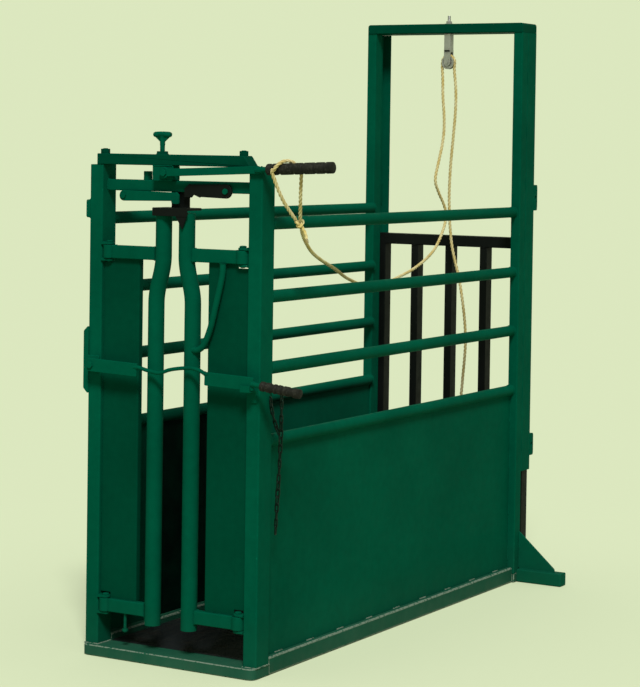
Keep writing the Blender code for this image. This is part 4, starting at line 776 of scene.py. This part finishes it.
def add_chain():
    """Safety chain that hangs from its hook, and its short second fall from the post."""
    x, y, top = 0.3715, HOOK_Y, 0.8877
    line = smooth_route([(x, y, top), (x - 0.001, y, top - 0.12),
                         (x - 0.006, y + 0.001, top - 0.24),
                         (x - 0.012, y + 0.001, top - 0.34), (x - 0.016, y, 0.45)], 0.004)
    form = Form()
    chain_links(form, line)
    obj = form.make("linked_safety_chain", CHAIN_STEEL, "frame", ["safety_chain"], 60)
    form = Form()
    chain_links(form, smooth_route([(0.3315, y, 0.866), (0.337, y, 0.83), (0.35, y, 0.79),
                                    (0.364, y, 0.76)], 0.004))
    form.ring_bead((0.3285, y, 0.868), Y, 0.0062)
    second = form.make("chain_second_fall", CHAIN_STEEL, "frame", sharp=60)


# ---- base

def add_base():
    form = Form()
    form.plate(soften(block(-HALF, HALF, -0.056, BACK), 0.026, 8, (2, 3)), "xy",
               SILL_TOP / 2, SILL_TOP, 0.003)
    for x in (-0.302, 0.302):
        foot = block(x - 0.0255, x + 0.0255, FRONT - 0.0005, BACK + 0.0005)
        form.bead([(*place, 0.0352) for place in foot], 0.0026, x, True)
    fine("front_sill", form, BASE_GREEN)
    form = Form()
    form.box((-REAR_HALF, REAR_POST, 0), (REAR_HALF, REAR, SILL_TOP), 0.004, 3, 0, 0.003)
    fine("rear_sill", form, BASE_GREEN)
    for side, word in SIDES:
        form = Form()
        low, high = pair(side, INNER, HALF)
        form.box((low, BACK + GAP, 0), (high, REAR_POST - GAP, SKID_TOP), 0.006, 3, 1, 0.001)
        for i in range(9):
            y = 0.1 + i * 0.195
            form.seam((side * (RAIL_X + 0.0022), y, SKID_TOP + 0.0012), "y", y + 0.045, seed=y)
        for y in (BACK + 0.001, REAR_POST - 0.001):
            form.seam((side * (HALF + 0.0002), y, 0.004), "z", 0.034, 0.0012, y)
        fine("base_skid_" + word, form, BASE_GREEN)


# ---- front frame

def add_front_posts():
    for side, word in SIDES:
        form = Form()
        low, high = pair(side, INNER, HALF)
        form.box((low, FRONT, ON_SILL), (high, BACK, FRONT_TOP), 0.005, 4, 2, 0.0015)
        root = side * (INNER + 0.001)
        lug = arc(side * HINGE_X, HINGE_Y, LUG_R, 90, 90 + side * 180, 18)
        lug += [(root, HINGE_Y - LUG_R), (root, HINGE_Y + LUG_R)]
        for level in (0.137, 0.189, 1.276, 1.328):
            form.plate(lug, "xy", level + FLAT / 2, FLAT, 0.001)
            for z in (level, level + FLAT):
                form.seam((side * (INNER - 0.0002), HINGE_Y - 0.0095, z), "y", HINGE_Y + 0.014,
                          0.0018, z)
        if side < 0:
            lug = soften(block(-0.3425, -0.3265, 1.413, 1.471), 0.01, 4, (1, 2))
            form.plate(lug, "xz", -0.0145, 0.047, 0.0015)
            for z in (1.4125, 1.4715):
                form.seam((-0.3285, -0.036, z), "y", 0.007, 0.002, z)
        else:
            form.tube([(x, HOOK_Y, HOOK_Z) for x in (HALF - 0.001, 0.366, 0.374, 0.3755)],
                      0.005, cap=0.001)
            form.ring_bead((HALF + 0.0006, HOOK_Y, HOOK_Z), X, 0.0058, 0.0022)
            hook = arc(HALF + 0.018, HOOK_Z, 0.0075, 0, 360, 20)[:-1]
            form.tube([(x, HOOK_Y, z) for x, z in hook], 0.0022, 10, closed=True)
        fine("front_post_" + word, form, GREEN)
    for side, word in SIDES:
        for place, seat in (("bottom", 0.1973), ("top", 1.3363)):
            form = Form()
            form.turn([(0, -0.0633), (0.006, -0.0633), (0.0078, -0.0613), (0.0078, 0.0001),
                       (0.01, 0.0), (0.011, 0.001), (0.011, 0.0036), (0.0098, 0.0052),
                       (0.006, 0.0059), (0, 0.006)],
                      (side * HINGE_X, HINGE_Y, seat), Z, 32, (5, 6))
            fine("hinge_pin_" + word + "_" + place, form, GREEN)


def add_top_crossbar():
    form = Form()
    side_view = [(-0.302, TOP_BAR_LOW), (0.283, TOP_BAR_LOW), (0.258, TOP_BAR_HIGH),
                 (-0.302, TOP_BAR_HIGH)]
    form.plate(soften(side_view, 0.003), "xz", TOP_BAR_Y, 0.05, 0.0025)
    for x, spin in ((-0.286, 0.2), (0.2425, 0.45)):
        form.bolt((x, TOP_BAR_Y, 1.6199), Z, 0.015, 0.0155, spin)
        form.turn([(0, 0), (0.0075, 0), (0.0075, 0.0014), (0.0065, 0.002), (0, 0.0021)],
                  (x, TOP_BAR_Y, 1.635), sides=24)
    for start, stop in ((-0.3005, -0.279), (0.279, 0.2815)):
        form.seam((start, 0.0125, TOP_BAR_LOW + GAP), "x", stop, 0.002, start)
        form.seam((start, FRONT - GAP, TOP_BAR_LOW), "x", stop, 0.0012, stop)
    form.bolt((*SCREW, 1.6199), Z, 0.019, 0.0104, 0.4)
    form.ring_bead((*SCREW, 1.6207), Z, 0.0186, 0.0022)
    # The top crossbar takes the darker copy of the green, as painted shade.
    fine("top_crossbar", form, SHADED_GREEN)


def add_adjusting_screw():
    form = Form()
    x, y = SCREW
    form.thread((x, y, TOP_BAR_LOW), 0.0083, 0.066, 0.0025)
    form.turn([(0, 0), (0.0078, 0), (0.0084, 0.003), (0.0084, 0.02), (0.0095, 0.027),
               (0.0125, 0.0325), (0.014, 0.0345), (0.014, 0.036), (0, 0.036)],
              (x, y, 1.648), sides=32)
    half = 0.032
    steps = [half * (i / 6 - 1) for i in range(13)]
    bar = [(x + u, y, 1.684 - 0.0012 * (u / half) ** 2) for u in steps]
    form.tube(bar, lambda s, a: 0.009 - 0.0022 * (1 - min(1.0, s / 0.004,
                                                           (2 * half - s) / 0.004)) ** 2)
    for side in (-1, 1):
        web = [(x + side * u, z) for u, z in ((0.003, 1.68), (0.0295, 1.68),
                                              (0.028, 1.676), (0.0075, 1.659),
                                              (0.003, 1.6565))]
        form.plate(web[::side], "xz", y, 0.005, 0.0012)
    fine("adjusting_screw", form, GREEN)


def add_lower_crossbar():
    form = Form()
    form.box((-0.2772, -0.012, CROSS_LOW), (0.2772, 0.02, CROSS_HIGH), 0.0035, 3, 0)
    for x in (-0.2768, 0.2768):
        for z in (CROSS_LOW - 0.0004, CROSS_HIGH + 0.0004):
            form.seam((x, -0.01, z), "y", 0.018, 0.0022, x + z)
        form.seam((x, -0.0123, 1.505), "z", 1.535, 0.002, x)
    form.plate(soften(block(-0.215, -0.195, 1.477, 1.503), 0.006, 4, (2, 3)), "xz", -0.008, FLAT,
               0.0008)
    for x, z in (LEFT_ARM, RIGHT_ARM):
        form.rod((x, -0.0255, z), Y, 0.006, 0.014)
        form.bolt((x, -0.0243, z), TO_FRONT, 0.01, 0.0052, x)
    stop = (-0.13, 0.004)
    form.rod((*stop, 1.5376), Z, 0.0132, 0.015, 32)
    form.bolt((*stop, 1.5376), Z, 0.015, 0.0132, 0.5)
    form.bolt((*stop, 1.5516), Z, 0.015, 0.0142, 0.5)
    fine("lower_crossbar", form, GREEN)


def add_lever_bearing():
    form = Form()
    form.box((-0.085, FRONT, CROSS_HIGH + GAP), (-0.007, 0.004, FRONT_TOP), 0.003, 3)
    for z in (1.5388, 1.5846):
        form.seam((-0.083, FRONT - 0.0002, z), "x", -0.009, 0.002, z)
    form.turn([(0, 0), (0.0105, 0), (0.0105, 0.0052), (0.0095, 0.0058), (0.007, 0.0058),
               (0.007, 0.016), (0, 0.016)], (PIVOT.x, FRONT + 0.0005, PIVOT.z), TO_FRONT, 32)
    form.bolt((PIVOT.x, -0.0524, PIVOT.z), TO_FRONT, 0.012, 0.0055, 0.2)
    fine("lever_bearing", form, GREEN)


def add_neck_guide():
    form = Form()
    form.box((-0.066, -0.062, 1.445), (0.066, 0.02, 1.453), 0.0016)
    form.plate(soften(block(-0.066, 0.066, 1.427, 1.453), 0.003), "xz", -0.0615, 0.005, 0.001)
    tongue = soften([(0.022, 1.428), (0.048, 1.386), (0.064, 1.428)], 0.004, 3, (0, 2))
    form.plate(tongue, "xz", -0.061, 0.004, 0.0008)
    form.box((-0.033, -0.004, 1.452), (0.033, 0.004, 1.5017), 0.001)
    form.seam((0.023, -0.0637, 1.4275), "x", 0.063, 0.0016)
    for y in (-0.0045, 0.0045):
        form.seam((-0.032, y, 1.4535), "x", 0.032, 0.0022, y)
        form.seam((-0.032, y, 1.501), "x", 0.032, 0.002, y * 3)
    for x in (-0.034, 0.034):
        form.seam((x, -0.05, 1.4445), "y", -0.03, 0.0018, x)
    # Black on the neck guide is painted shade: it sits in the shade under the crossbars.
    fine("neck_guide", form, BLACK_AND_SHADE)


# ---- doors

def neck_x(z):
    """How far the middle of a neck bar is from the chute's middle at a height."""
    t = min(max((z - 1.15) / 0.15, 0.0), 1.0)
    return 0.0695 - 0.0255 * (1 - math.cos(math.pi * t)) / 2


def add_doors():
    heights = [0.122, 0.16] + [0.2 + 0.05 * i for i in range(19)]
    heights += [1.135 + 0.0083 * i for i in range(23)] + [1.34, 1.39, 1.437]
    for side, word in SIDES:
        form = Form()
        form.tube([(side * neck_x(z), HINGE_Y, z) for z in heights], NECK_R, 36, cap=0.0022)
        if side > 0:
            add_brace(form)
        fine("neck_bar_" + word, form, GREEN)
        for place, low, high in DOOR_BARS:
            add_door_bar(side, word, place, low, high)
        add_door_panel(side, word)


def add_brace(form):
    """Curved brace between the neck bar and the top bar of the right door."""
    x, y, top = 0.19, HINGE_Y - (NECK_R - BRACE_R), 1.2847
    reach = x - 0.0695 - NECK_R / 2
    bend = ((0.0, 0.0), (0.0, 0.09), (0.06, 0.22), (0.21, 0.455),
            (0.39, 0.727), (0.61, 0.927), (0.82, 0.996), (1.0, 1.0))
    route = [(x - reach * u, y, top - 0.275 * v) for u, v in bend]
    form.tube(smooth_route(route, 0.008), BRACE_R, 28)
    form.ring_bead((0.0905, y, 1.0097), X, BRACE_R, 0.0022)
    form.ring_bead((x, y, 1.2838), Z, BRACE_R, 0.0016)


def add_door_bar(side, word, place, low, high):
    """Flat bar of a door with its hinge sleeve, and the stop stud on one of them."""
    form = Form()
    half, rim, bore = 0.0125, 0.021, 0.0082
    inner = neck_x(low) + NECK_R + GAP
    x0, x1 = pair(side, inner, HINGE_X - 0.006)
    form.box((x0, HINGE_Y - half, low), (x1, HINGE_Y + half, high), 0.003, 3, 0, 0.0006)
    form.turn([(bore, 0), (rim - 0.0015, 0), (rim, 0.0015), (rim, 0.0405), (rim - 0.0015, 0.042),
               (bore, 0.042), (bore, 0)], (side * HINGE_X, HINGE_Y, low), Z, 44, (1, 3))
    for y in (HINGE_Y - 0.0127, HINGE_Y + 0.0127):
        form.seam((side * (HINGE_X - 0.017), y, low + 0.003), "z", high - 0.003, seed=y)
    for z in (low + 0.0002, high - 0.0002):
        form.bead([(side * (HINGE_X - 0.0205), HINGE_Y - 0.01, z),
                   (side * (HINGE_X - 0.0214), HINGE_Y + 0.01, z)], 0.0018, z)
    weld_x = side * (inner + 0.001)
    for z in (low - 0.0001, high + 0.0001):
        form.seam((weld_x, HINGE_Y - 0.012, z), "y", HINGE_Y + 0.012, 0.002, z)
    form.seam((weld_x, HINGE_Y - 0.0126, low + 0.002), "z", high - 0.002, 0.002)
    if side < 0 and place == "bottom":
        stud = (-0.176, HINGE_Y)
        form.thread((*stud, 0.084), 0.0052, 0.0625)
        form.bolt((*stud, 0.0885), Z, 0.01, 0.0075)
        form.ring_bead((*stud, 0.1456), Z, 0.006, 0.0018)
    fine("door_bar_" + word + "_" + place, form, GREEN)


def add_door_panel(side, word):
    """Sheet between the door's bars, with a rolled flange at the neck and a hinge-side wing."""
    low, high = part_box("door_panel_" + word)
    inner, wing = sorted((abs(low.x), abs(high.x)))
    outer, thick = 0.2365, 0.003
    front, back = low.y, high.y
    outline = soften([(outer, front), (inner, front), (inner, back)], 0.0055, 5, (0, 2))
    outline += soften([(inner + thick, back), (inner + thick, front + thick),
                       (outer, front + thick)], 0.003, 5, (0, 2))
    form = Form()
    form.plate([(side * x, y) for x, y in outline], "xy", (low.z + high.z) / 2, high.z - low.z,
               0.0003)
    x0, x1 = pair(side, outer - 0.003, wing)
    form.box((x0, front + 0.0002, low.z + 0.019), (x1, front + 0.0028, high.z - 0.0132), 0.001)
    for z in (low.z + 0.0004, high.z - 0.0004):
        for k in range(3):
            x = inner + 0.012 + k * (outer - inner - 0.045) / 2
            form.seam((side * x, front - 0.0004, z), "x", side * (x + 0.022), 0.0014, x + z)
    # The panel takes the darker copy of the green, as painted shade.
    fine("door_panel_" + word, form, SHADED_GREEN)


# ---- lever and arms

def grip_profile(radius, length, shank):
    """Ribbed grip: collar, three finger grooves, cross ribs, domed end."""
    points = [(shank, 0.0), (radius * 0.9, 0.0), (radius * 0.985, 0.0012), (radius, 0.0035)]
    marks = [0.012, 0.036, length * 0.37, length * 0.52, length * 0.7, length - 0.036]
    along = 0.0055
    edges = []
    while along < length - 0.01:
        if any(start <= along <= start + 0.0085 for start in marks):
            points += [(radius * 0.86, along + 0.0012), (radius * 0.85, along + 0.003)]
            along += 0.004
        else:
            points += [(radius * 0.955, along), (radius * 0.995, along + 0.0007),
                       (radius * 0.995, along + 0.0022), (radius * 0.955, along + 0.0029)]
            edges.append(len(points) - 3)
            along += 0.0038
    points += [(radius, length - 0.0065), (radius * 0.97, length - 0.0028),
               (radius * 0.8, length - 0.0007), (radius * 0.5, length - 0.0001), (0.0, length)]
    return points, edges


def add_lever():
    form = Form()
    outline = arc(0, 0, 0.018, 42, 318, 26)
    outline += [(0.35, -0.012), (0.362, -0.007), (0.362, 0.007), (0.35, 0.012)]
    form.plate(outline, "xz", 0.0, FLAT, 0.0012, LEVER)
    form.tube([at(LEVER, u) for u in (0.342, 0.36, 0.48, 0.605)], 0.009, 28)
    for w in (-0.0086, 0.0086):
        for y in (-0.0035, 0.0035):
            form.bead([at(LEVER, u, y * 1.9, w * 0.55) for u in (0.343, 0.364)], 0.0018, w + y)
    form.ring_bead(at(LEVER, 0.3625), LEVER_AXIS, 0.0092)
    form.shim(0.0078, 0.015, at(LEVER, 0, FLAT / 2), 36)
    fine("lever_bar", form, GREEN)
    form = Form()
    profile, edges = grip_profile(0.018, 0.234, 0.0092)
    form.turn(profile, at(LEVER, 0.385), LEVER_AXIS, 48, edges)
    fine("lever_grip", form, RUBBER)


def add_lock_arms():
    arms = (
        ("left", GREEN, LEFT_ARM, arc(0, 0, 0.017, 90, 270, 20),
         [(0.182, -0.017), (0.19, -0.023), (0.212, -0.023), (0.212, 0.0068), (0.2, 0.017)]),
        # The right arm's black is painted shade.
        ("right", BLACK_AND_SHADE, RIGHT_ARM, arc(0, 0, 0.022, -90, 90, 20),
         [(-0.135, 0.022), (-0.155, 0.0066), (-0.155, -0.022), (-0.129, -0.022),
          (-0.121, -0.012), (-0.095, -0.022)]),
    )
    for word, finish, (x, z), outline, end in arms:
        form = Form()
        form.plate(outline + soften(end, 0.004), "xz", -0.02, FLAT, 0.0012,
                   Matrix.Translation((x, 0, z)))
        fine("lock_arm_" + word, form, finish)


# ---- front bar

def add_front_bar():
    form = Form()
    half = BAR_HALF
    end = 0.328 - BAR_PIVOT.x
    start = end - 0.178
    left = [(-0.008, half), (-0.013, 0.016), (-0.013, -0.016), (-0.008, -half),
            (BAR_LEFT, -half), (BAR_LEFT, half)]
    form.plate(soften(left, 0.003), "xz", 0.0, FLAT, 0.0012, FRONT_BAR)
    form.plate(soften(block(start, end, -half, half), 0.004), "xz", 0.0, FLAT, 0.0012, FRONT_BAR)
    rise = half - BAR_ROD_R
    route = []
    for share, lift in ((-0.05, 0.6), (0.04, 0.6), (0.17, 0.2), (0.33, 0.0), (0.48, 0.9),
                        (0.64, 1.5), (0.79, 1.8), (0.91, 1.6), (1.00, 1.0), (1.05, 1.0)):
        point = at(FRONT_BAR, BAR_LEFT + (start - BAR_LEFT) * share)
        route.append(point + Vector((0, 0, rise * lift)))
    form.tube(smooth_route(route, 0.004), BAR_ROD_R)
    for u, lift in ((BAR_LEFT, rise * 0.6), (start, rise)):
        form.ring_bead(at(FRONT_BAR, u) + Vector((0, 0, lift)), X, 0.0062, 0.002)
    droop = BAR_SLOPE + math.radians(4.0)
    lead = Vector((math.cos(droop), 0.0, -math.sin(droop)))
    root = at(FRONT_BAR, end - 0.006)
    form.tube([root + lead * u for u in (0, 0.03, 0.1, 0.163)], 0.008, 28)
    form.ring_bead(root + lead * 0.0065, lead, 0.0084, 0.0022)
    form.shim(0.0068, 0.0125, at(FRONT_BAR, 0, -0.0048), 32)
    fine("front_bar", form, GREEN)
    form = Form()
    profile, edges = grip_profile(0.0152, 0.142, 0.0082)
    form.turn(profile, root + lead * 0.035, lead, 48, edges)
    fine("front_bar_grip", form, RUBBER)


def add_bar_bracket():
    form = Form()
    outline = [(-0.3275, 0.8468), (-0.3235, 0.8468), (-0.3235, 0.9163), (-0.2795, 0.9163),
               (-0.2795, 0.9683), (-0.3235, 0.9683), (-0.3235, 1.0618), (-0.3275, 1.0618),
               (-0.3425, 1.0468), (-0.3425, 0.8618)]
    form.plate(soften(outline, 0.003, 2), "xz", -0.0413, 0.006, 0.001)
    for z in (0.852, 1.019):
        form.seam((-0.3232, -0.039, z), "z", z + 0.037, 0.0018, z)
    for z in (0.9161, 0.9685):
        form.seam((-0.319, -0.039, z), "x", -0.282, 0.0018, z)
    form.turn([(0, 0), (0.01, 0), (0.01, 0.026), (0.0093, 0.0267), (0.006, 0.0267),
               (0.006, 0.037), (0, 0.037)], (BAR_PIVOT.x, -0.0445, BAR_PIVOT.z), TO_FRONT, 32)
    form.bolt((BAR_PIVOT.x, -0.0805, BAR_PIVOT.z), TO_FRONT, 0.012, 0.0054, 0.3)
    fine("front_bar_bracket", form, GREEN)


def add_bar_keeper():
    low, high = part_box("front_bar_keeper")
    form = Form()
    shape = [(high.y, low.z), (high.y, 0.8996), (-0.082, 0.8996), (-0.082, high.z),
             (low.y, high.z), (low.y, 0.8936), (-0.0443, 0.8936), (-0.0443, low.z)]
    form.plate(soften(shape, 0.0035, 3, (0, 1, 3, 4, 7)), "yz", (low.x + high.x) / 2,
               high.x - low.x, 0.001)
    for x in (low.x - 0.0002, high.x + 0.0002):
        form.seam((x, -0.0388, low.z + 0.002), "z", 0.889, 0.0018, x)
    fine("front_bar_keeper", form, GREEN)


# ---- side panels

def add_sides():
    start, end = BACK + GAP, REAR_POST - GAP
    for side, word in SIDES:
        x = side * RAIL_X
        for name, z in RAILS:
            form = Form()
            add_rail(form, x, z, start, end)
            fine(name + word, form, GREEN)
        form = Form()
        add_rail(form, x, CAP_RAIL_Z, start, end)
        add_sheet(form, side, start, end, 0.0576, CAP_RAIL_Z - RAIL_R + 0.001)
        for i in range(10):
            y = 0.07 + i * 0.182
            for out in (-1, 1):
                form.seam((x + out * 0.003, y, 0.7137), "y", y + 0.04, 0.0022, y + out)
        for i in range(4):
            z = 0.085 + i * 0.175
            for y in (start + 0.001, end - 0.001):
                for out in (-1, 1):
                    form.seam((x + out * 0.0026, y, z), "z", z + 0.05, 0.0022, z + y)
        fine("side_sheet_" + word, form, GREEN)


def add_rail(form, x, z, start, end):
    """Round rail with a weld bead at each post, a little out of true as real tube is."""
    shares = [i / 40 for i in range(41)]
    form.tube([(x, start + (end - start) * t, z - 0.0005 * math.sin(math.pi * t))
               for t in shares], RAIL_R - 0.0002, 32)
    for y in (start + 0.0012, end - 0.0012):
        form.ring_bead((x, y, z), Y, RAIL_R, 0.0026)


def add_sheet(form, side, start, end, low, high):
    """Side sheet with the slight waves that welding leaves in thin plate; its inner face is marked
    for painted shade toward the front of the chute.
    """
    part, worn = new_part()
    across, up = 72, 28
    grids = []
    for face in (-1, 1):
        grid = []
        for i in range(across + 1):
            row = []
            for j in range(up + 1):
                u, v = i / across, j / up
                y, z = start + (end - start) * u, low + (high - low) * v
                hold = math.sin(math.pi * u) * math.sin(math.pi * v)
                wave = noise.noise(Vector((y * 2.1, z * 2.6, 3.0 + side))) * 0.0011 * hold
                row.append(part.verts.new((side * RAIL_X + face * 0.0015 + wave * 0.6, y, z)))
            grid.append(row)
        grids.append(grid)
        for one, two in zip(grid, grid[1:]):
            for j in range(up):
                made = part.faces.new((one[j], two[j], two[j + 1], one[j + 1]))
                y = one[j].co.y
                # Painted shade mask on the inner face: full from y 0.32 to 0.6 m, gone by 1.05 m.
                shade_depth = min(max((1.05 - y) / 0.45, 0.0), max((y - 0.26) / 0.06, 0.0), 1.0)
                made[worn] = -shade_depth if face == -side else 0.0
    rims = [[[row[j] for row in grid] for grid in grids] for j in (0, up)]
    rims += [[grid[i] for grid in grids] for i in (0, across)]
    for one, two in rims:
        for a, b, c, d in zip(one, one[1:], two[1:], two):
            part.faces.new((a, b, c, d))
    form.add(part)


# ---- rear frame and gate

def add_rear():
    for side, word in SIDES:
        low, high = pair(side, REAR_INNER, REAR_HALF)
        inn, out = side * REAR_INNER, side * REAR_HALF
        form = Form()
        form.box((low, REAR_POST, ON_SILL), (high, GUIDE - GAP, GUIDE_TOP), 0.004, 3, 2)
        form.seam((low - GAP, REAR_POST - GAP, ON_SILL), "x", high + GAP, seed=side)
        for i in range(8):
            z = 0.5 + i * 0.2
            form.seam((out, GUIDE - 0.0002, z), "z", z + 0.04, 0.0016, z)
        fine("rear_post_" + word, form, GREEN)
        form = Form()
        wall = 0.004
        shape = [(inn, GUIDE), (out, GUIDE), (out, REAR), (inn, REAR), (inn, REAR - wall),
                 (out - side * wall, REAR - wall), (out - side * wall, GUIDE + wall),
                 (inn, GUIDE + wall)]
        form.plate(soften(shape, 0.0032, 3, (0, 3, 4, 7)), "xy", (GUIDE_LOW + GUIDE_TOP) / 2,
                   GUIDE_TOP - GUIDE_LOW, 0.0006)
        for height, size in ((1.465, 0.098), (0.515, 0.084)):
            add_rear_lug(form, side, height, size)
        fine("gate_guide_" + word, form, GREEN)
        add_foot(side, word)
    form = Form()
    shape = soften(block(-REAR_HALF, REAR_HALF, BEAM_LOW, BEAM_TOP), 0.011, 5, (0, 1))
    form.plate(shape, "xz", (REAR_POST + REAR) / 2, REAR - REAR_POST, 0.003)
    for x in (-0.317, 0.317):
        form.seam((x - 0.016, REAR_POST - 0.0002, BEAM_LOW), "x", x + 0.016, 0.0022, x)
    # The beam takes the darker copy of the green, as painted shade.
    fine("rear_beam", form, SHADED_GREEN)


def add_rear_lug(form, side, height, size):
    """Panel lug with its pin hole, welded to the back of a guide."""
    part, _ = new_part()
    middle, thick = side * (REAR_HALF - 0.005), 0.0098
    bore, sides = 0.008, 48

    def edge(c, s):
        reach = 0.015 if c > 0 else 0.023
        return ((abs(c) / reach) ** 9 + (abs(s) / (size / 2)) ** 9) ** (-1 / 9)

    rings = []
    for x in (middle - thick / 2, middle + thick / 2):
        turns = [(math.cos(math.tau * i / sides), math.sin(math.tau * i / sides))
                 for i in range(sides)]
        for radii in ([bore] * sides, [edge(c, s) for c, s in turns]):
            rings.append([part.verts.new((x, REAR + 0.015 + r * c, height + r * s))
                          for r, (c, s) in zip(radii, turns)])
    for a, b in ((0, 1), (1, 3), (3, 2), (2, 0)):
        join(part, rings[a], rings[b])
    form.add(part)
    for inset, seed in ((0.001, height - 0.0004), (0.01, height + 0.01)):
        form.seam((side * (REAR_HALF - inset), REAR + 0.0008, height - size / 2 + 0.006), "z",
                  height + size / 2 - 0.006, 0.0022, seed)


def add_foot(side, word):
    """Outrigger foot with its gusset."""
    foot_y, gusset_y = REAR_POST + 0.049, REAR_POST + 0.0443
    start = REAR_HALF + GAP
    low, high = pair(side, start, start + 0.182)
    form = Form()
    form.box((low, foot_y - 0.025, 0), (high, foot_y + 0.025, 0.048), 0.0045, 3, 0, 0.002)
    outline = [(start, 0.047), (start + 0.148, 0.047), (start + 0.148, 0.06), (start, 0.19)]
    outline = soften([(side * x, z) for x, z in outline], 0.004, 3, (0, 1, 3))
    form.plate(outline, "xz", gusset_y, FLAT, 0.001)
    for dy in (-0.0048, 0.0048):
        form.seam((side * (start + 0.004), gusset_y + dy, 0.0485), "x",
                  side * (start + 0.144), 0.0026, dy)
        form.seam((side * (start + 0.0014), gusset_y + dy, 0.054), "z", 0.184, seed=dy * 2)
    form.seam((side * (start + 0.001), foot_y - 0.0252, 0.006), "z", 0.044, 0.0018)
    fine("rear_foot_" + word, form, GREEN)


def add_gate():
    edges = (GATE_FRONT - 0.0002, GATE_BACK + 0.0002)

    def bar(x0, x1, low, high, along, ends=0.0004):
        form = Form()
        form.box((x0, GATE_FRONT, low), (x1, GATE_BACK, high), 0.0035, 3, along, ends)
        return form

    for side, word in SIDES:
        form = bar(*pair(side, 0.28, 0.33), ON_SILL, GATE_TOP, 2, 0.001)
        fine("gate_stile_" + word, form, BLACK_AND_SHADE)
    form = bar(-GATE_INNER, GATE_INNER, GATE_TOP - GATE_BAR, GATE_TOP, 0)
    for x in (-0.2796, 0.2796):
        for y, seed in zip(edges, (x, x + 1)):
            form.seam((x, y, 1.272), "z", 1.308, 0.002, seed)
    fine("gate_top_bar", form, BLACK_AND_SHADE)
    form = bar(-GATE_INNER, GATE_INNER, ON_SILL, ON_SILL + GATE_BAR, 0)
    eye = soften(block(0.063, 0.087, 1.8017, GATE_FRONT + 0.001), 0.009, 6, (2, 3))
    form.plate(eye, "xy", 0.0713, 0.0119, 0.0012)
    for z in (0.0655, 0.077):
        form.seam((0.064, GATE_FRONT - 0.0006, z), "x", 0.086, 0.0016, z)
    fine("gate_bottom_bar", form, BLACK_AND_SHADE)
    for number, x in enumerate((-0.15, 0.0, 0.15), 1):
        form = bar(x - 0.015, x + 0.015, 0.0776, 1.2687, 2)
        for z in (0.0782, 1.2682):
            for y in edges:
                form.seam((x - 0.012, y, z), "x", x + 0.012, 0.002, z + y)
        fine("gate_bar_" + str(number), form, BLACK_AND_SHADE)


def add_pulley():
    form = Form()
    half, block_low = 0.014, 2.0203
    x, y, z = PULLEY
    form.box((x - half, y - half, block_low), (x + half, y + half, 2.0937), 0.0025, 3)
    for side in (-1, 1):
        cheek = arc(x, z, half, 180, 360, 20) + [(x + half, 2.03), (x - half, 2.03)]
        form.plate(cheek, "xz", y + side * 0.012, 0.004, 0.0008)
        form.bolt((x, y + side * 0.0138, z), (0, side, 0), 0.0066, 0.003)
        form.seam((x - half + 0.001, y + side * 0.0143, block_low), "x", x + half - 0.001,
                  0.0015, side)
    form.rod((x, y - half, z), Y, 0.0039, 0.028)
    form.bolt((x, y, BEAM_TOP + 0.0002), Z, 0.012, 0.0108, 0.3, 0.0165)
    form.thread((x, y, 2.1405), 0.006, 0.0215)
    fine("pulley_hanger", form, STEEL)
    form = Form()
    rim, floor, wide = 0.026, 0.02, 0.009
    cheek = [(0.0045, wide), (0.01, wide), (0.011, wide - 0.0014),
             (rim - 0.0065, wide - 0.0014), (rim - 0.0055, wide), (rim - 0.0006, wide),
             (rim, wide - 0.0008), (rim - 0.0004, wide - 0.0022)]
    groove = [math.radians(-80 + 20 * i) for i in range(9)]
    profile = [(r, -w) for r, w in cheek]
    profile += [(floor + 0.005 * (1 - math.cos(a)), 0.0052 * math.sin(a)) for a in groove]
    profile += cheek[::-1] + [(0.0045, -wide)]
    form.turn(profile, PULLEY, Y, 64)
    fine("pulley_sheave", form, STEEL)


for add_piece in (add_rope_run, add_rope_drop, add_rope_loop, add_chain, add_base,
                  add_front_posts, add_top_crossbar, add_adjusting_screw, add_lower_crossbar,
                  add_lever_bearing, add_neck_guide, add_doors, add_lever, add_lock_arms,
                  add_front_bar, add_bar_bracket, add_bar_keeper, add_sides, add_rear,
                  add_gate, add_pulley):
    add_piece()

# The floor plate stays as the CAD made it, with its own finish.
for material_slot in frame["nodes"]["floor_plate"].material_slots:
    material_slot.material = PLATE[0]


# ---- studio

def add_floor():
    """Pale floor that keeps the chute's shadow and fades to the background colour."""
    bm = bmesh.new()
    bmesh.ops.create_grid(bm, x_segments=2, y_segments=2, size=30.0)
    floor = put_in_scene("studio_floor", mesh_from(bm, "studio_floor"))
    floor.location = (0.0, 0.9, -0.0006)
    f = Finish("studio_floor_finish", None)
    length = f.get("VectorMath", "Value", {0: f.place}, operation="LENGTH")
    shaded = f.get("BsdfDiffuse", 0, {"Color": [c / FLOOR_LIGHT for c in LIT]})
    glow = f.get("Emission", 0, {"Color": LIT})
    fade = f.get("MixShader", 0, {0: f.span(length, 1.2, 2.6), 1: shaded, 2: glow})
    add_node(f.tree, "OutputMaterial", {"Surface": fade})
    floor.data.materials.append(f.mat)


def add_light():
    """Even studio light from all round, and one broad soft key from the front and above."""
    world = bpy.data.worlds.new("studio")
    bpy.context.scene.world = world
    world.use_nodes = True
    tree = world.node_tree
    tree.nodes.clear()
    rays = add_node(tree, "LightPath").outputs
    seen = rays["Is Camera Ray"]
    for kind in ("Is Glossy Ray", "Is Transmission Ray"):
        seen = add_node(tree, "Math", {0: seen, 1: rays[kind]}, operation="MAXIMUM").outputs[0]
    light = add_node(tree, "Background", {"Color": (1.0, 1.0, 1.0), "Strength": 0.38})
    backdrop = add_node(tree, "Background", {"Color": LIT, "Strength": 1.0})
    pick = add_node(tree, "MixShader", {0: seen, 1: light.outputs[0], 2: backdrop.outputs[0]})
    add_node(tree, "OutputWorld", {"Surface": pick.outputs[0]})
    data = bpy.data.lights.new("key_light", "SUN")
    data.energy = 3.7
    data.angle = math.radians(14)
    put_in_scene("key_light", data).matrix_world = aim((0.5, -0.8, 1.08))


add_floor()
add_light()
bpy.context.scene.view_settings.view_transform = "Standard"
